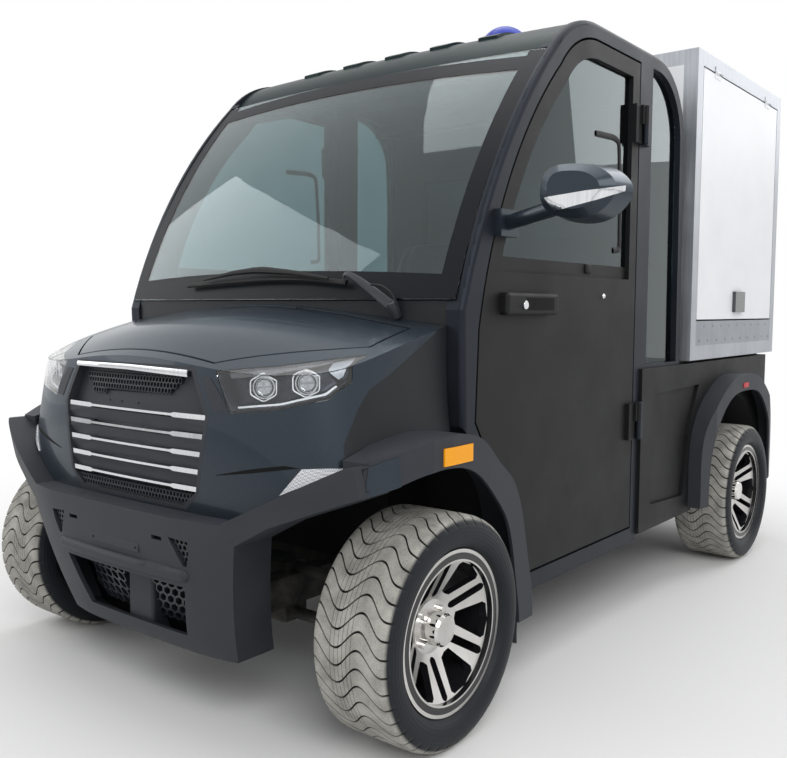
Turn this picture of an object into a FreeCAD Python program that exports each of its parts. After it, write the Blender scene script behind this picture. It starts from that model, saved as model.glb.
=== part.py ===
import FreeCAD, Part
import os
from math import asin, cos, degrees, hypot, radians, sin

# A closed two-seat electric utility cart: a moulded nose with a slatted grille, a hard cab with
# rear-hung doors, and a tall panelled cargo body on a short bed.
# X is the cart's left, -Y is forwards, Z is up, and the origin lies on the ground at mid-length.
# All lengths are millimetres.

V = FreeCAD.Vector

# Driving sizes
OVERALL_LENGTH = 3140.0
WHEELBASE = 2150.0
FRONT_OVERHANG = 405.0
TYRE_RADIUS = 280.0
TYRE_WIDTH = 230.0
RIM_RADIUS = 198.0
HALF_OVER_TYRES = 800.0
KINGPIN_X = 600.0
CAB_HALF_WIDTH = 690.0
CAB_SIDE_THICKNESS = 52.0
CAB_ROOF_Z = 1912.0
CAB_REAR_Y = 455.0
SILL_BOTTOM_Z = 240.0
SILL_HEIGHT = 50.0
PILLAR_WIDTH = 50.0
B_PILLAR_WIDTH = 100.0
DOOR_REAR_Y = 30.0
DOOR_THICKNESS = 36.0
DOOR_GAP = 7.0
WAIST_Z = 1142.0
BODY_TOP_Z = 839.0
FLOOR_Z = 345.0
BOX_HALF_WIDTH = 712.0
BOX_FRONT_Y = 490.0
BOX_REAR_Y = 1545.0
BOX_TOP_Z = 2010.0
BOX_WALL = 28.0
NOSE_HALF_WIDTH = 648.0
HOOD_REAR_Y = -1080.0
GLASS_THICKNESS = 6.0
TOW_TONGUE_REACH = 44.0
PANEL_WALL = 8.0
SEAM = 6.0
SEAT_FIT = 0.3
CUT_OVERRUN = 40.0

FRONT_Y = -OVERALL_LENGTH / 2
REAR_Y = OVERALL_LENGTH / 2 - TOW_TONGUE_REACH
FRONT_AXLE_Y = FRONT_Y + FRONT_OVERHANG
REAR_AXLE_Y = FRONT_AXLE_Y + WHEELBASE
WHEEL_X = HALF_OVER_TYRES - TYRE_WIDTH / 2
CAB_INNER_X = CAB_HALF_WIDTH - CAB_SIDE_THICKNESS
SILL_TOP_Z = SILL_BOTTOM_Z + SILL_HEIGHT

nodes = {}


# Shape helpers

def block(x0, x1, y0, y1, z0, z1):
    """A box between two corners."""
    return Part.makeBox(x1 - x0, y1 - y0, z1 - z0, V(x0, y0, z0))


def rounded_block(x0, x1, y0, y1, z0, z1, radius):
    """A box with every edge rounded."""
    solid = block(x0, x1, y0, y1, z0, z1)
    return solid.makeFillet(radius, solid.Edges)


def mirrored(shape):
    """The same shape on the other side of the cart."""
    return shape.mirror(V(0, 0, 0), V(1, 0, 0))


def both_sides(shape):
    """A left shape and its right twin."""
    return [shape, mirrored(shape)]


def rod(start, end, radius):
    """A round bar between two points."""
    direction = end - start
    return Part.makeCylinder(radius, direction.Length, start, direction)


def polygon(points):
    """A closed wire through the points."""
    return Part.makePolygon(list(points) + [points[0]])


def prism_x(outline, x0, x1):
    """An outline of (y, z) points carried from x0 to x1."""
    face = Part.Face(polygon([V(x0, y, z) for y, z in outline]))
    return face.extrude(V(x1 - x0, 0, 0))


def prism_y(outline, y0, y1):
    """An outline of (x, z) points carried from y0 to y1."""
    face = Part.Face(polygon([V(x, y0, z) for x, z in outline]))
    return face.extrude(V(0, y1 - y0, 0))


def prism_z(outline, z0, z1):
    """An outline of (x, y) points carried from z0 to z1."""
    face = Part.Face(polygon([V(x, y, z0) for x, y in outline]))
    return face.extrude(V(0, 0, z1 - z0))


def side_wire(steps):
    """A closed side-view wire. Each step is a (y, z) point for a line, or two points for an arc."""
    last = steps[0][0]
    edges = []
    for step in steps[1:] + [[steps[0][0]]]:
        end = step[-1]
        a, b = V(0, *last), V(0, *end)
        if len(step) == 2:
            edges.append(Part.Arc(a, V(0, *step[0]), b).toShape())
        elif (b - a).Length > SEAT_FIT:
            edges.append(Part.LineSegment(a, b).toShape())
        last = end
    return Part.Wire(edges)


def side_prism(wire, x0, x1):
    """A side-view wire drawn at x = 0, carried from x0 to x1."""
    moved = wire.copy()
    moved.translate(V(x0, 0, 0))
    return Part.Face(moved).extrude(V(x1 - x0, 0, 0))


def curve_through(points):
    """A smooth edge through the points."""
    spline = Part.BSplineCurve()
    spline.interpolate([V(*p) for p in points])
    return spline.toShape()


def closed_curve(points):
    """A smooth closed wire through the points."""
    spline = Part.BSplineCurve()
    spline.interpolate(list(points), True)
    return Part.Wire(spline.toShape())


def spline_prism_x(curve, corners, x0, x1):
    """A solid whose side view is a smooth curve closed by straight corners, from x0 to x1."""
    edges = [curve_through([(x0, y, z) for y, z in curve])]
    last = curve[-1]
    for corner in list(corners) + [curve[0]]:
        edges.append(Part.LineSegment(V(x0, *last), V(x0, *corner)).toShape())
        last = corner
    return Part.Face(Part.Wire(edges)).extrude(V(x1 - x0, 0, 0))


def spline_band_x(outer, inner, x0, x1):
    """A band between two smooth side-view curves that run the same way, from x0 to x1."""
    first = curve_through([(x0, y, z) for y, z in outer])
    second = curve_through([(x0, y, z) for y, z in inner])
    ends = [Part.LineSegment(V(x0, *outer[i]), V(x0, *inner[i])).toShape() for i in (0, -1)]
    wire = Part.Wire(Part.__sortEdges__([first, second] + ends))
    return Part.Face(wire).extrude(V(x1 - x0, 0, 0))


def loft(wires, ruled=False):
    """A closed solid through the wires."""
    return Part.makeLoft(wires, True, ruled)


def fuse(shapes):
    """One solid from overlapping or touching shapes."""
    joined = shapes[0]
    for other in shapes[1:]:
        joined = joined.fuse(other)
    return joined.removeSplitter()


def cut(shape, tools):
    """The shape less every tool."""
    for tool in tools:
        shape = shape.cut(tool)
    return shape


def largest(shape):
    """The largest solid of a shape."""
    return max(shape.Solids, key=lambda s: s.Volume)


def keep(name, *shapes):
    """Files one or more solids under a node's name."""
    solids = [s for shape in shapes for s in shape.Solids]
    nodes[name] = solids[0] if len(solids) == 1 else Part.makeCompound(solids)


def spot(share):
    """A side-view point from its shares of the wheelbase and of the cab's height."""
    return (FRONT_AXLE_Y + share[0] * WHEELBASE, share[1] * CAB_ROOF_Z)


# The cab's side view: the outer line of its side arch, and the door and quarter window in it

CAB_SIDE_SHARES = {
    "screen_foot": (0.0721, 0.5439),
    "screen_mid": (0.1600, 0.7620),
    "screen_head": (0.2814, 0.9336),
    "roof_front_bend": (0.3419, 0.9843),
    "roof_front": (0.4116, 1.0000),
    "arch_foot": (0.1977, 0.1726),
    "arch_mid": (0.1744, 0.2720),
    "arch_head": (0.1116, 0.3400),
    "pillar_foot": (0.0767, 0.3896),
    "door_arch_mid": (0.1977, 0.2694),
    "door_arch_head": (0.1279, 0.3441),
    "door_pillar_foot": (0.1000, 0.3923),
    "door_screen_foot": (0.1056, 0.5178),
    "door_screen_mid": (0.1833, 0.7521),
    "door_screen_head": (0.2981, 0.9127),
    "door_head_bend": (0.3507, 0.9592),
    "door_head_front": (0.4140, 0.9738),
}
CAB_SPOTS = {name: spot(share) for name, share in CAB_SIDE_SHARES.items()}
SCREEN_FOOT = CAB_SPOTS["screen_foot"]
SCREEN_MID = CAB_SPOTS["screen_mid"]
SCREEN_HEAD = CAB_SPOTS["screen_head"]
ROOF_REAR_RUN = 275.0
ROOF_REAR_DROP = 262.0
ROOF_REAR_LEAN = 15.0
ARC_SHARE = 0.293
ROOF_REAR = (CAB_REAR_Y - ROOF_REAR_RUN, CAB_ROOF_Z)
REAR_SHOULDER = (CAB_REAR_Y - ROOF_REAR_LEAN, CAB_ROOF_Z - ROOF_REAR_DROP)
ROOF_REAR_BEND = (REAR_SHOULDER[0] - ARC_SHARE * (REAR_SHOULDER[0] - ROOF_REAR[0]),
                  CAB_ROOF_Z - ARC_SHARE * ROOF_REAR_DROP)
DOOR_HEAD_Z = CAB_ROOF_Z - PILLAR_WIDTH
QUARTER_FRONT_Y = DOOR_REAR_Y + B_PILLAR_WIDTH
QUARTER_REAR_Y = CAB_REAR_Y - PILLAR_WIDTH
QUARTER_SILL_Z = BODY_TOP_Z + PILLAR_WIDTH / 4


def cab_outline():
    return side_wire([
        [SCREEN_FOOT],
        [SCREEN_MID, SCREEN_HEAD],
        [CAB_SPOTS["roof_front_bend"], CAB_SPOTS["roof_front"]],
        [ROOF_REAR],
        [ROOF_REAR_BEND, REAR_SHOULDER],
        [(CAB_REAR_Y, BODY_TOP_Z)],
        [(CAB_REAR_Y, SILL_BOTTOM_Z)],
        [(CAB_SPOTS["arch_foot"][0], SILL_BOTTOM_Z)],
        [CAB_SPOTS["arch_foot"]],
        [CAB_SPOTS["arch_mid"], CAB_SPOTS["arch_head"]],
        [CAB_SPOTS["pillar_foot"]],
    ])


def door_opening():
    return side_wire([
        [(CAB_SPOTS["arch_foot"][0] + PILLAR_WIDTH, SILL_TOP_Z)],
        [CAB_SPOTS["door_arch_mid"], CAB_SPOTS["door_arch_head"]],
        [CAB_SPOTS["door_pillar_foot"]],
        [CAB_SPOTS["door_screen_foot"]],
        [CAB_SPOTS["door_screen_mid"], CAB_SPOTS["door_screen_head"]],
        [CAB_SPOTS["door_head_bend"], (CAB_SPOTS["door_head_front"][0], DOOR_HEAD_Z)],
        [(DOOR_REAR_Y, DOOR_HEAD_Z)],
        [(DOOR_REAR_Y, SILL_TOP_Z)],
    ])


def quarter_opening():
    head_run = ROOF_REAR_RUN - PILLAR_WIDTH
    drop = ROOF_REAR_DROP - PILLAR_WIDTH
    head_y = QUARTER_REAR_Y - head_run
    return side_wire([
        [(QUARTER_FRONT_Y, QUARTER_SILL_Z)],
        [(QUARTER_FRONT_Y, DOOR_HEAD_Z)],
        [(head_y, DOOR_HEAD_Z)],
        [(QUARTER_REAR_Y - ROOF_REAR_LEAN - ARC_SHARE * (head_run - ROOF_REAR_LEAN),
          DOOR_HEAD_Z - ARC_SHARE * drop),
         (QUARTER_REAR_Y - ROOF_REAR_LEAN, DOOR_HEAD_Z - drop)],
        [(QUARTER_REAR_Y, QUARTER_SILL_Z)],
    ])


def inset(wire, distance):
    """The wire moved inwards in its own plane."""
    return wire.makeOffset2D(-distance, 2)


# Cab frame: two side arches joined by headers and a screen rail

ARCH_ROUND = 16.0
HEADER_DEPTH = 60.0
HEADER_HEIGHT = 40.0
SCREEN_RAIL_DROP = 60.0
DOOR_STOP = 12.0
DOOR_INNER_X = CAB_HALF_WIDTH - DOOR_THICKNESS
DOOR_AIR = 5.5

HINGE_PIN_RADIUS = 9.0
HINGE_REACH = 22.0
HINGE_COVER_LENGTH = 60.0
HINGE_HEIGHT = 124.0
HINGE_AXIS_X = CAB_HALF_WIDTH + HINGE_REACH
HINGE_AXIS_Y = DOOR_REAR_Y + 2.0 * SEAT_FIT
HINGE_COVER_THICKNESS = 14.0
HINGE_SPLIT = 0.4
HINGE_LEAF_GAP = 12.0
DOOR_HINGE_ZS = (665.0, 1655.0)


def rounded_outer_edges(solid):
    """Rounds the outer face's edges above the waist."""
    chosen = []
    for edge in solid.Edges:
        box = edge.BoundBox
        if box.XMin > CAB_HALF_WIDTH - SEAT_FIT and box.ZMax > BODY_TOP_Z + SEAT_FIT:
            chosen.append(edge)
    return solid.makeFillet(ARCH_ROUND, chosen)


def cab_side():
    side = rounded_outer_edges(side_prism(cab_outline(), CAB_INNER_X, CAB_HALF_WIDTH))
    through = (CAB_INNER_X - CUT_OVERRUN, CAB_HALF_WIDTH + CUT_OVERRUN)
    side = cut(side, [side_prism(door_opening(), *through), side_prism(quarter_opening(), *through)])
    side = cut(side, panel_rebates())
    stop = side_prism(door_opening(), CAB_INNER_X, DOOR_INNER_X - DOOR_AIR)
    stop = stop.cut(side_prism(inset(door_opening(), DOOR_STOP), *through))
    return fuse([side, stop])


def hinge_half(centre_z, towards, low):
    """One leaf of a door hinge: a cover on the panel and half of the barrel."""
    z0 = centre_z - HINGE_HEIGHT / 2
    half = HINGE_HEIGHT / 2 - HINGE_SPLIT
    z_barrel = z0 if low else centre_z + HINGE_SPLIT
    near = HINGE_AXIS_Y + towards * HINGE_LEAF_GAP
    far = HINGE_AXIS_Y + towards * HINGE_COVER_LENGTH
    y0, y1 = min(near, far), max(near, far)
    skin_x = CAB_HALF_WIDTH - SEAT_FIT
    cover_x = CAB_HALF_WIDTH + HINGE_COVER_THICKNESS
    cover = block(skin_x, cover_x, y0, y1, z0, z0 + HINGE_HEIGHT)
    barrel = Part.makeCylinder(HINGE_PIN_RADIUS, half, V(HINGE_AXIS_X, HINGE_AXIS_Y, z_barrel))
    arm_y = sorted((HINGE_AXIS_Y, HINGE_AXIS_Y + towards * HINGE_LEAF_GAP * 2))
    arm = block(cover_x - HINGE_SPLIT * 2, HINGE_AXIS_X, arm_y[0], arm_y[1], z_barrel, z_barrel + half)
    return fuse([cover, arm, barrel])


def build_cab_frame():
    side = fuse([cab_side()] + [hinge_half(z, 1, True) for z in DOOR_HINGE_ZS])
    reach = CAB_INNER_X + SEAM
    front_y = SCREEN_HEAD[0] + HEADER_DEPTH
    rear_y = REAR_SHOULDER[0] - HEADER_DEPTH * 3
    rail_y = SCREEN_FOOT[0] + HEADER_DEPTH
    rail_z = SCREEN_FOOT[1] - SCREEN_RAIL_DROP
    headers = [
        block(-reach, reach, front_y, front_y + HEADER_DEPTH, SCREEN_HEAD[1] - HEADER_HEIGHT,
              SCREEN_HEAD[1]),
        block(-reach, reach, rear_y, rear_y + HEADER_DEPTH, ROOF_REAR_BEND[1] - HEADER_HEIGHT,
              ROOF_REAR_BEND[1]),
        block(-reach, reach, rail_y, rail_y + HEADER_HEIGHT, rail_z - HEADER_DEPTH, rail_z),
    ]
    keep("cab_frame", fuse([side, mirrored(side)] + headers))


# Windscreen and roof: bands that follow the arch, bowed outwards between the two sides

SCREEN_BOW = 45.0
SCREEN_RECESS = 3.0
SCREEN_LIFT = 28.0
ARCH_FACE = 24.0
SCREEN_INWARD = (0.86, -0.5)
ROOF_CROWN = 12.0
ROOF_THICKNESS = 14.0
ROOF_RECESS = 6.0
ROOF_RIBS = 5
RIB_WIDTH = 70.0
RIB_PITCH = 190.0
RIB_HEIGHT = 9.0
REBATE_X = CAB_HALF_WIDTH - ARCH_FACE
PANEL_HALF_WIDTH = REBATE_X - SEAT_FIT


def moved_point(point, direction, distance):
    return (point[0] + direction[0] * distance, point[1] + direction[1] * distance)


def bowed_loft(section, bow, half_width):
    """Lofts a side-view section across the cart, with the middle one moved by the bow."""
    wires = []
    for share in (-1, 0, 1):
        wire = section.copy()
        arch = 1 - share * share
        wire.translate(V(share * half_width, bow[0] * arch, bow[1] * arch))
        wires.append(wire)
    return loft(wires)


def screen_section(depth, thickness):
    """The windscreen's section: the arch line set in by depth, and again by thickness."""
    foot = (SCREEN_FOOT[0], SCREEN_FOOT[1] + SCREEN_LIFT)
    front = [moved_point(p, SCREEN_INWARD, depth) for p in (foot, SCREEN_MID, SCREEN_HEAD)]
    back = [moved_point(p, SCREEN_INWARD, depth + thickness) for p in (foot, SCREEN_MID, SCREEN_HEAD)]
    return side_wire([[front[0]], [front[1], front[2]], [back[2]], [back[1], back[0]]])


def roof_line():
    """The roof's outer line in the side view, from the top of the screen back to the rear shoulder."""
    front = moved_point(SCREEN_HEAD, SCREEN_INWARD, SCREEN_RECESS + GLASS_THICKNESS + SEAM)
    return [front, CAB_SPOTS["roof_front_bend"], CAB_SPOTS["roof_front"], ROOF_REAR, ROOF_REAR_BEND,
            REAR_SHOULDER]


def roof_underside(drop, thickness):
    """The roof's inner line, thinner towards the rear shoulder so that it stays in front of it."""
    low = [(y, z - drop - thickness) for y, z in roof_line()]
    low[-1] = (REAR_SHOULDER[0] - thickness, REAR_SHOULDER[1] - drop)
    low[-2] = (ROOF_REAR_BEND[0] - thickness * cos(radians(45)),
               ROOF_REAR_BEND[1] - drop - thickness * cos(radians(45)))
    return low


def roof_section(drop, thickness):
    top = [(y, z - drop) for y, z in roof_line()]
    low = roof_underside(drop, thickness)
    return side_wire([[top[0]], [top[1], top[2]], [top[3]], [top[4], top[5]],
                      [low[5]], [low[4], low[3]], [low[2]], [low[1], low[0]]])


def panel_rebates():
    """The steps in a side arch that the windscreen and the roof lie in."""
    x0, x1 = CAB_INNER_X - CUT_OVERRUN, REBATE_X
    floor = SCREEN_RECESS + GLASS_THICKNESS + SEAT_FIT
    screen = side_prism(screen_section(-CUT_OVERRUN, CUT_OVERRUN + floor), x0, x1)
    low = roof_underside(ROOF_RECESS, ROOF_THICKNESS + SEAT_FIT)
    over_z = CAB_ROOF_Z + CUT_OVERRUN
    behind_y = CAB_REAR_Y + CUT_OVERRUN
    roof = side_prism(side_wire([[low[0]], [low[1], low[2]], [low[3]], [low[4], low[5]],
                                 [(behind_y, low[5][1])], [(behind_y, over_z)],
                                 [(low[0][0], over_z)]]), x0, x1)
    return [screen, roof]


def build_screen_and_roof():
    keep("windscreen", bowed_loft(screen_section(SCREEN_RECESS, GLASS_THICKNESS),
                                  (-SCREEN_BOW, 0), PANEL_HALF_WIDTH))
    skin = bowed_loft(roof_section(ROOF_RECESS, ROOF_THICKNESS), (0, ROOF_CROWN), PANEL_HALF_WIDTH)
    raised = bowed_loft(roof_section(ROOF_RECESS - RIB_HEIGHT, ROOF_THICKNESS + RIB_HEIGHT / 2),
                        (0, ROOF_CROWN), PANEL_HALF_WIDTH)
    ribs = []
    for i in range(ROOF_RIBS):
        x = (i - (ROOF_RIBS - 1) / 2) * RIB_PITCH
        window = block(x - RIB_WIDTH / 2, x + RIB_WIDTH / 2, CAB_SPOTS["roof_front_bend"][0],
                       ROOF_REAR[0], SCREEN_HEAD[1], CAB_ROOF_Z + ROOF_CROWN + CUT_OVERRUN)
        ribs.append(raised.common(window))
    keep("roof", fuse([skin] + ribs))


# Doors: a panel as thick as the wall, with a window, a pull handle and a mirror

WINDOW_FRAME = 52.0
WINDOW_ROUND = 28.0
HANDLE_SHARES = (0.153, 0.284)
HANDLE_Z = 1057.0
HANDLE_HEIGHT = 60.0
HANDLE_DEPTH = 26.0
HANDLE_ROUND = 11.0
MIRROR_Y = -905.0
MIRROR_INNER_X = 846.0
MIRROR_OUTER_X = 1068.0
MIRROR_Z0 = 1253.0
MIRROR_Z1 = 1393.0
MIRROR_SHARES = ((0.0, 0.6), (0.12, 0.95), (0.41, 1.0), (0.815, 0.843), (0.99, 0.5), (0.85, 0.14),
                 (0.36, 0.0), (0.07, 0.2))
MIRROR_DEPTH = 95.0
MIRROR_NOSE_SHARE = 0.62
MIRROR_WAIST_SHARE = 0.9
MIRROR_BASE_Y = (-868.0, -782.0)
MIRROR_BASE_Z = (1232.0, 1302.0)
MIRROR_BASE_DEPTH = 22.0
MIRROR_ARM_RADIUS = 20.0
MIRROR_GLASS = 4.0
MIRROR_RIM_SHARE = 0.88


def door_side():
    edge = inset(door_opening(), DOOR_GAP)
    panel = side_prism(edge, DOOR_INNER_X, CAB_HALF_WIDTH)
    window = side_prism(inset(door_opening(), DOOR_GAP + WINDOW_FRAME),
                        DOOR_INNER_X - CUT_OVERRUN, CAB_HALF_WIDTH + CUT_OVERRUN)
    above = block(CAB_INNER_X - CUT_OVERRUN, CAB_HALF_WIDTH + CUT_OVERRUN, SCREEN_FOOT[0],
                  CAB_REAR_Y, WAIST_Z, CAB_ROOF_Z)
    window = window.common(above)
    glass_x = DOOR_INNER_X + (DOOR_THICKNESS - GLASS_THICKNESS) / 2
    glass = window.common(block(glass_x, glass_x + GLASS_THICKNESS, SCREEN_FOOT[0], CAB_REAR_Y,
                                WAIST_Z, CAB_ROOF_Z))
    panel = fuse([panel.cut(window)] + [hinge_half(z, -1, False) for z in DOOR_HINGE_ZS])
    return panel, glass


def door_handle():
    y0, y1 = [FRONT_AXLE_Y + share * WHEELBASE for share in HANDLE_SHARES]
    x0 = CAB_HALF_WIDTH
    z0, z1 = HANDLE_Z - HANDLE_HEIGHT / 2, HANDLE_Z + HANDLE_HEIGHT / 2
    grip = rounded_block(x0 - HANDLE_ROUND, x0 + HANDLE_DEPTH, y0, y1, z0, z1, HANDLE_ROUND)
    return grip.common(block(x0, x0 + HANDLE_DEPTH * 2, y0, y1, z0, z1))


def mirror_outline(y, share):
    """The mirror's smooth outline seen from the front, at one depth and scaled about its middle."""
    width, height = MIRROR_OUTER_X - MIRROR_INNER_X, MIRROR_Z1 - MIRROR_Z0
    middle_x, middle_z = MIRROR_INNER_X + width / 2, MIRROR_Z0 + height / 2
    points = [(MIRROR_INNER_X + x * width, MIRROR_Z0 + z * height) for x, z in MIRROR_SHARES]
    return closed_curve([V(middle_x + (x - middle_x) * share, y, middle_z + (z - middle_z) * share)
                         for x, z in points])


def mirror_head():
    """The mirror: a shell that narrows forwards, on a short arm, with its glass facing back."""
    y0, y1 = MIRROR_Y - MIRROR_DEPTH / 2, MIRROR_Y + MIRROR_DEPTH / 2
    shell = loft([mirror_outline(y0, MIRROR_NOSE_SHARE),
                  mirror_outline(y0 + MIRROR_DEPTH / 4, MIRROR_WAIST_SHARE), mirror_outline(y1, 1)], True)
    glass = Part.Face(mirror_outline(y1 - MIRROR_GLASS, MIRROR_RIM_SHARE)).extrude(V(0, MIRROR_GLASS, 0))
    rim = Part.Face(mirror_outline(y1 - MIRROR_GLASS * 2, MIRROR_RIM_SHARE)).extrude(V(0, MIRROR_DEPTH, 0))
    x0 = CAB_HALF_WIDTH
    base = block(x0, x0 + MIRROR_BASE_DEPTH, *MIRROR_BASE_Y, *MIRROR_BASE_Z)
    base_middle = V(x0 + MIRROR_BASE_DEPTH / 2, sum(MIRROR_BASE_Y) / 2, sum(MIRROR_BASE_Z) / 2)
    head_middle = V(MIRROR_INNER_X + MIRROR_ARM_RADIUS * 3, MIRROR_Y, MIRROR_Z0 + MIRROR_ARM_RADIUS * 2)
    arm = rod(base_middle, head_middle, MIRROR_ARM_RADIUS)
    glass.translate(V(0, -MIRROR_GLASS, 0))
    return fuse([fuse([shell, base, arm]).cut(rim), glass])


def build_doors():
    panel, glass = door_side()
    handle = door_handle()
    for side, turn in (("left", Part.Shape.copy), ("right", mirrored)):
        keep("door_" + side, turn(fuse([panel, handle])))
        keep("door_glass_" + side, turn(glass))
    keep("mirror_left", mirror_head())


# Cab glass and rear wall

BACK_WALL = 20.0
BACK_WINDOW_HALF = 480.0
BACK_WINDOW_Z0 = 1130.0
BACK_WINDOW_Z1 = 1600.0


def build_cab_rear():
    glass_x = CAB_INNER_X + CAB_SIDE_THICKNESS / 2
    pane = side_prism(quarter_opening(), glass_x, glass_x + GLASS_THICKNESS)
    y0 = REAR_SHOULDER[0] - BACK_WALL - ROOF_THICKNESS - SEAT_FIT
    reach = CAB_INNER_X
    wall = block(-reach, reach, y0, y0 + BACK_WALL, BODY_TOP_Z, REAR_SHOULDER[1])
    hole = block(-BACK_WINDOW_HALF, BACK_WINDOW_HALF, y0 - CUT_OVERRUN, y0 + BACK_WALL + CUT_OVERRUN,
                 BACK_WINDOW_Z0, BACK_WINDOW_Z1)
    keep("cab_back_wall", wall.cut(hole))
    mid = y0 + (BACK_WALL - GLASS_THICKNESS) / 2
    back_pane = block(-BACK_WINDOW_HALF, BACK_WINDOW_HALF, mid, mid + GLASS_THICKNESS,
                      BACK_WINDOW_Z0, BACK_WINDOW_Z1)
    keep("cab_glass", pane, mirrored(pane), back_pane)


# Chassis frame, floor tub, seats and battery

RAIL_HALF_SPAN = 260.0
RAIL_WIDTH = 60.0
RAIL_HEIGHT = 80.0
RAIL_FRONT = 190.0
RAIL_REAR = 8.0
RAIL_RISE = 128.0
RAIL_RISE_RUN = 130.0
CROSS_WIDTH = 50.0
CROSS_SHARES = (-0.07, 0.11, 0.40, 0.68, 0.91, 1.13)
TUB_WALL = 10.0
WELL_INNER_X = 438.0
WELL_TOP_Z = 645.0
WELL_REAR_REACH = 345.0
FIREWALL_SETBACK = 20.0
FIREWALL_TOP_Z = 940.0
SEAT_BOX_FRONT_Y = -90.0
SEAT_BOX_TOP_Z = 600.0
SEAT_BOX_HALF = 630.0
BATTERY_SIZE = (560.0, 380.0, 210.0)


def build_chassis():
    """Two rails that rise over the rear axle, with cross members between them."""
    z0 = FLOOR_Z - TUB_WALL - RAIL_HEIGHT
    front = FRONT_Y + RAIL_FRONT
    rear = BED_REAR_Y - RAIL_REAR
    rise_y = CAB_REAR_Y + RAIL_WIDTH
    top_y = rise_y + RAIL_RISE_RUN
    low = [(front, z0), (rise_y, z0), (top_y, z0 + RAIL_RISE), (rear, z0 + RAIL_RISE)]
    high = [(y, z + RAIL_HEIGHT) for y, z in low]
    rail = prism_x(low + high[::-1], RAIL_HALF_SPAN - RAIL_WIDTH / 2, RAIL_HALF_SPAN + RAIL_WIDTH / 2)
    bars = [rail, mirrored(rail)]
    inset_z = RAIL_HEIGHT / 8
    for share in CROSS_SHARES:
        y = FRONT_AXLE_Y + share * WHEELBASE
        z = z0 + (RAIL_RISE if y > top_y else 0)
        bars.append(block(-RAIL_HALF_SPAN, RAIL_HALF_SPAN, y - CROSS_WIDTH / 2, y + CROSS_WIDTH / 2,
                          z + inset_z, z + RAIL_HEIGHT - inset_z))
    eye_z = TYRE_RADIUS + AXLE_TUBE_RADIUS + SPRING_LEAF * (SPRING_LEAVES - SPRING_SINK_SHARE) + SPRING_SAG
    for side in (-1, 1):
        x0, x1 = sorted((side * RAIL_HALF_SPAN, side * (SPRING_X + SPRING_WIDTH / 2)))
        for end in (-1, 1):
            y0, y1 = sorted((REAR_AXLE_Y + end * AXLE_SPRING_HALF,
                             REAR_AXLE_Y + end * (AXLE_SPRING_HALF - CROSS_WIDTH)))
            bars.append(block(x0, x1, y0, y1, eye_z - SPRING_LEAF, z0 + RAIL_RISE + RAIL_HEIGHT / 2))
    keep("chassis_frame", fuse(bars))


def build_tub():
    """Floor, footwell between the wheel wells, firewall, rear wall and seat box, in one pressing."""
    floor_z = FLOOR_Z - TUB_WALL
    well_y = FRONT_AXLE_Y + WELL_REAR_REACH
    front_y = SCREEN_FOOT[0] + FIREWALL_SETBACK
    rear_y = CAB_REAR_Y - TUB_WALL
    reach = CAB_INNER_X
    wide = block(-reach, reach, well_y, rear_y, floor_z, BODY_TOP_Z)
    narrow = block(-WELL_INNER_X, WELL_INNER_X, front_y, well_y, floor_z, FIREWALL_TOP_Z)
    upper = block(-reach, reach, front_y, well_y, WELL_TOP_Z, FIREWALL_TOP_Z)
    t = TUB_WALL
    over = CUT_OVERRUN
    wide_in = block(-reach - over, reach + over, well_y + t, rear_y - t, FLOOR_Z, BODY_TOP_Z + over)
    narrow_in = block(-WELL_INNER_X + t, WELL_INNER_X - t, front_y + t, well_y + t * 2, FLOOR_Z,
                      FIREWALL_TOP_Z + over)
    upper_in = block(-reach - over, reach + over, front_y + t, well_y + t * 2, WELL_TOP_Z + t,
                     FIREWALL_TOP_Z + over)
    shell = fuse([wide, narrow, upper]).cut(fuse([wide_in, narrow_in, upper_in]))
    seat = block(-SEAT_BOX_HALF, SEAT_BOX_HALF, SEAT_BOX_FRONT_Y, rear_y - t / 2, floor_z, SEAT_BOX_TOP_Z)
    seat_in = block(-SEAT_BOX_HALF + t, SEAT_BOX_HALF - t, SEAT_BOX_FRONT_Y + t, rear_y - t,
                    FLOOR_Z, SEAT_BOX_TOP_Z - t)
    keep("cab_tub", fuse([fuse([shell, seat]).cut(seat_in)] + [hood_bracket(side) for side in (-1, 1)]))
    width, depth, height = BATTERY_SIZE
    middle = (SEAT_BOX_FRONT_Y + rear_y) / 2
    keep("battery_pack", block(-width / 2, width / 2, middle - depth / 2, middle + depth / 2,
                               FLOOR_Z, FLOOR_Z + height))


SEAT_X = 315.0
SEAT_WIDTH = 520.0
CUSHION_HEIGHT = 125.0
CUSHION_ROUND = 42.0
BACKREST_THICKNESS = 110.0
BACKREST_HEIGHT = 620.0
BACKREST_LEAN = 12.0
BACKREST_WIDTH = 480.0


def build_seats():
    z0 = SEAT_BOX_TOP_Z + SEAT_FIT
    rear = REAR_SHOULDER[0] - BACK_WALL * 2 - ROOF_THICKNESS
    cushion = rounded_block(SEAT_X - SEAT_WIDTH / 2, SEAT_X + SEAT_WIDTH / 2,
                            SEAT_BOX_FRONT_Y - CUSHION_ROUND, rear - BACKREST_THICKNESS, z0,
                            z0 + CUSHION_HEIGHT, CUSHION_ROUND)
    back = rounded_block(SEAT_X - BACKREST_WIDTH / 2, SEAT_X + BACKREST_WIDTH / 2,
                         -BACKREST_THICKNESS, 0, 0, BACKREST_HEIGHT, CUSHION_ROUND)
    back.rotate(V(0, 0, 0), V(1, 0, 0), -BACKREST_LEAN)
    lean_y = BACKREST_HEIGHT * sin(radians(BACKREST_LEAN))
    foot = back.optimalBoundingBox().ZMin
    back.translate(V(0, rear - lean_y, z0 + CUSHION_HEIGHT + SEAT_FIT - foot))
    keep("seat_cushions", *both_sides(cushion))
    keep("seat_backs", *both_sides(back))


# Dashboard, steering column and wheel

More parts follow.
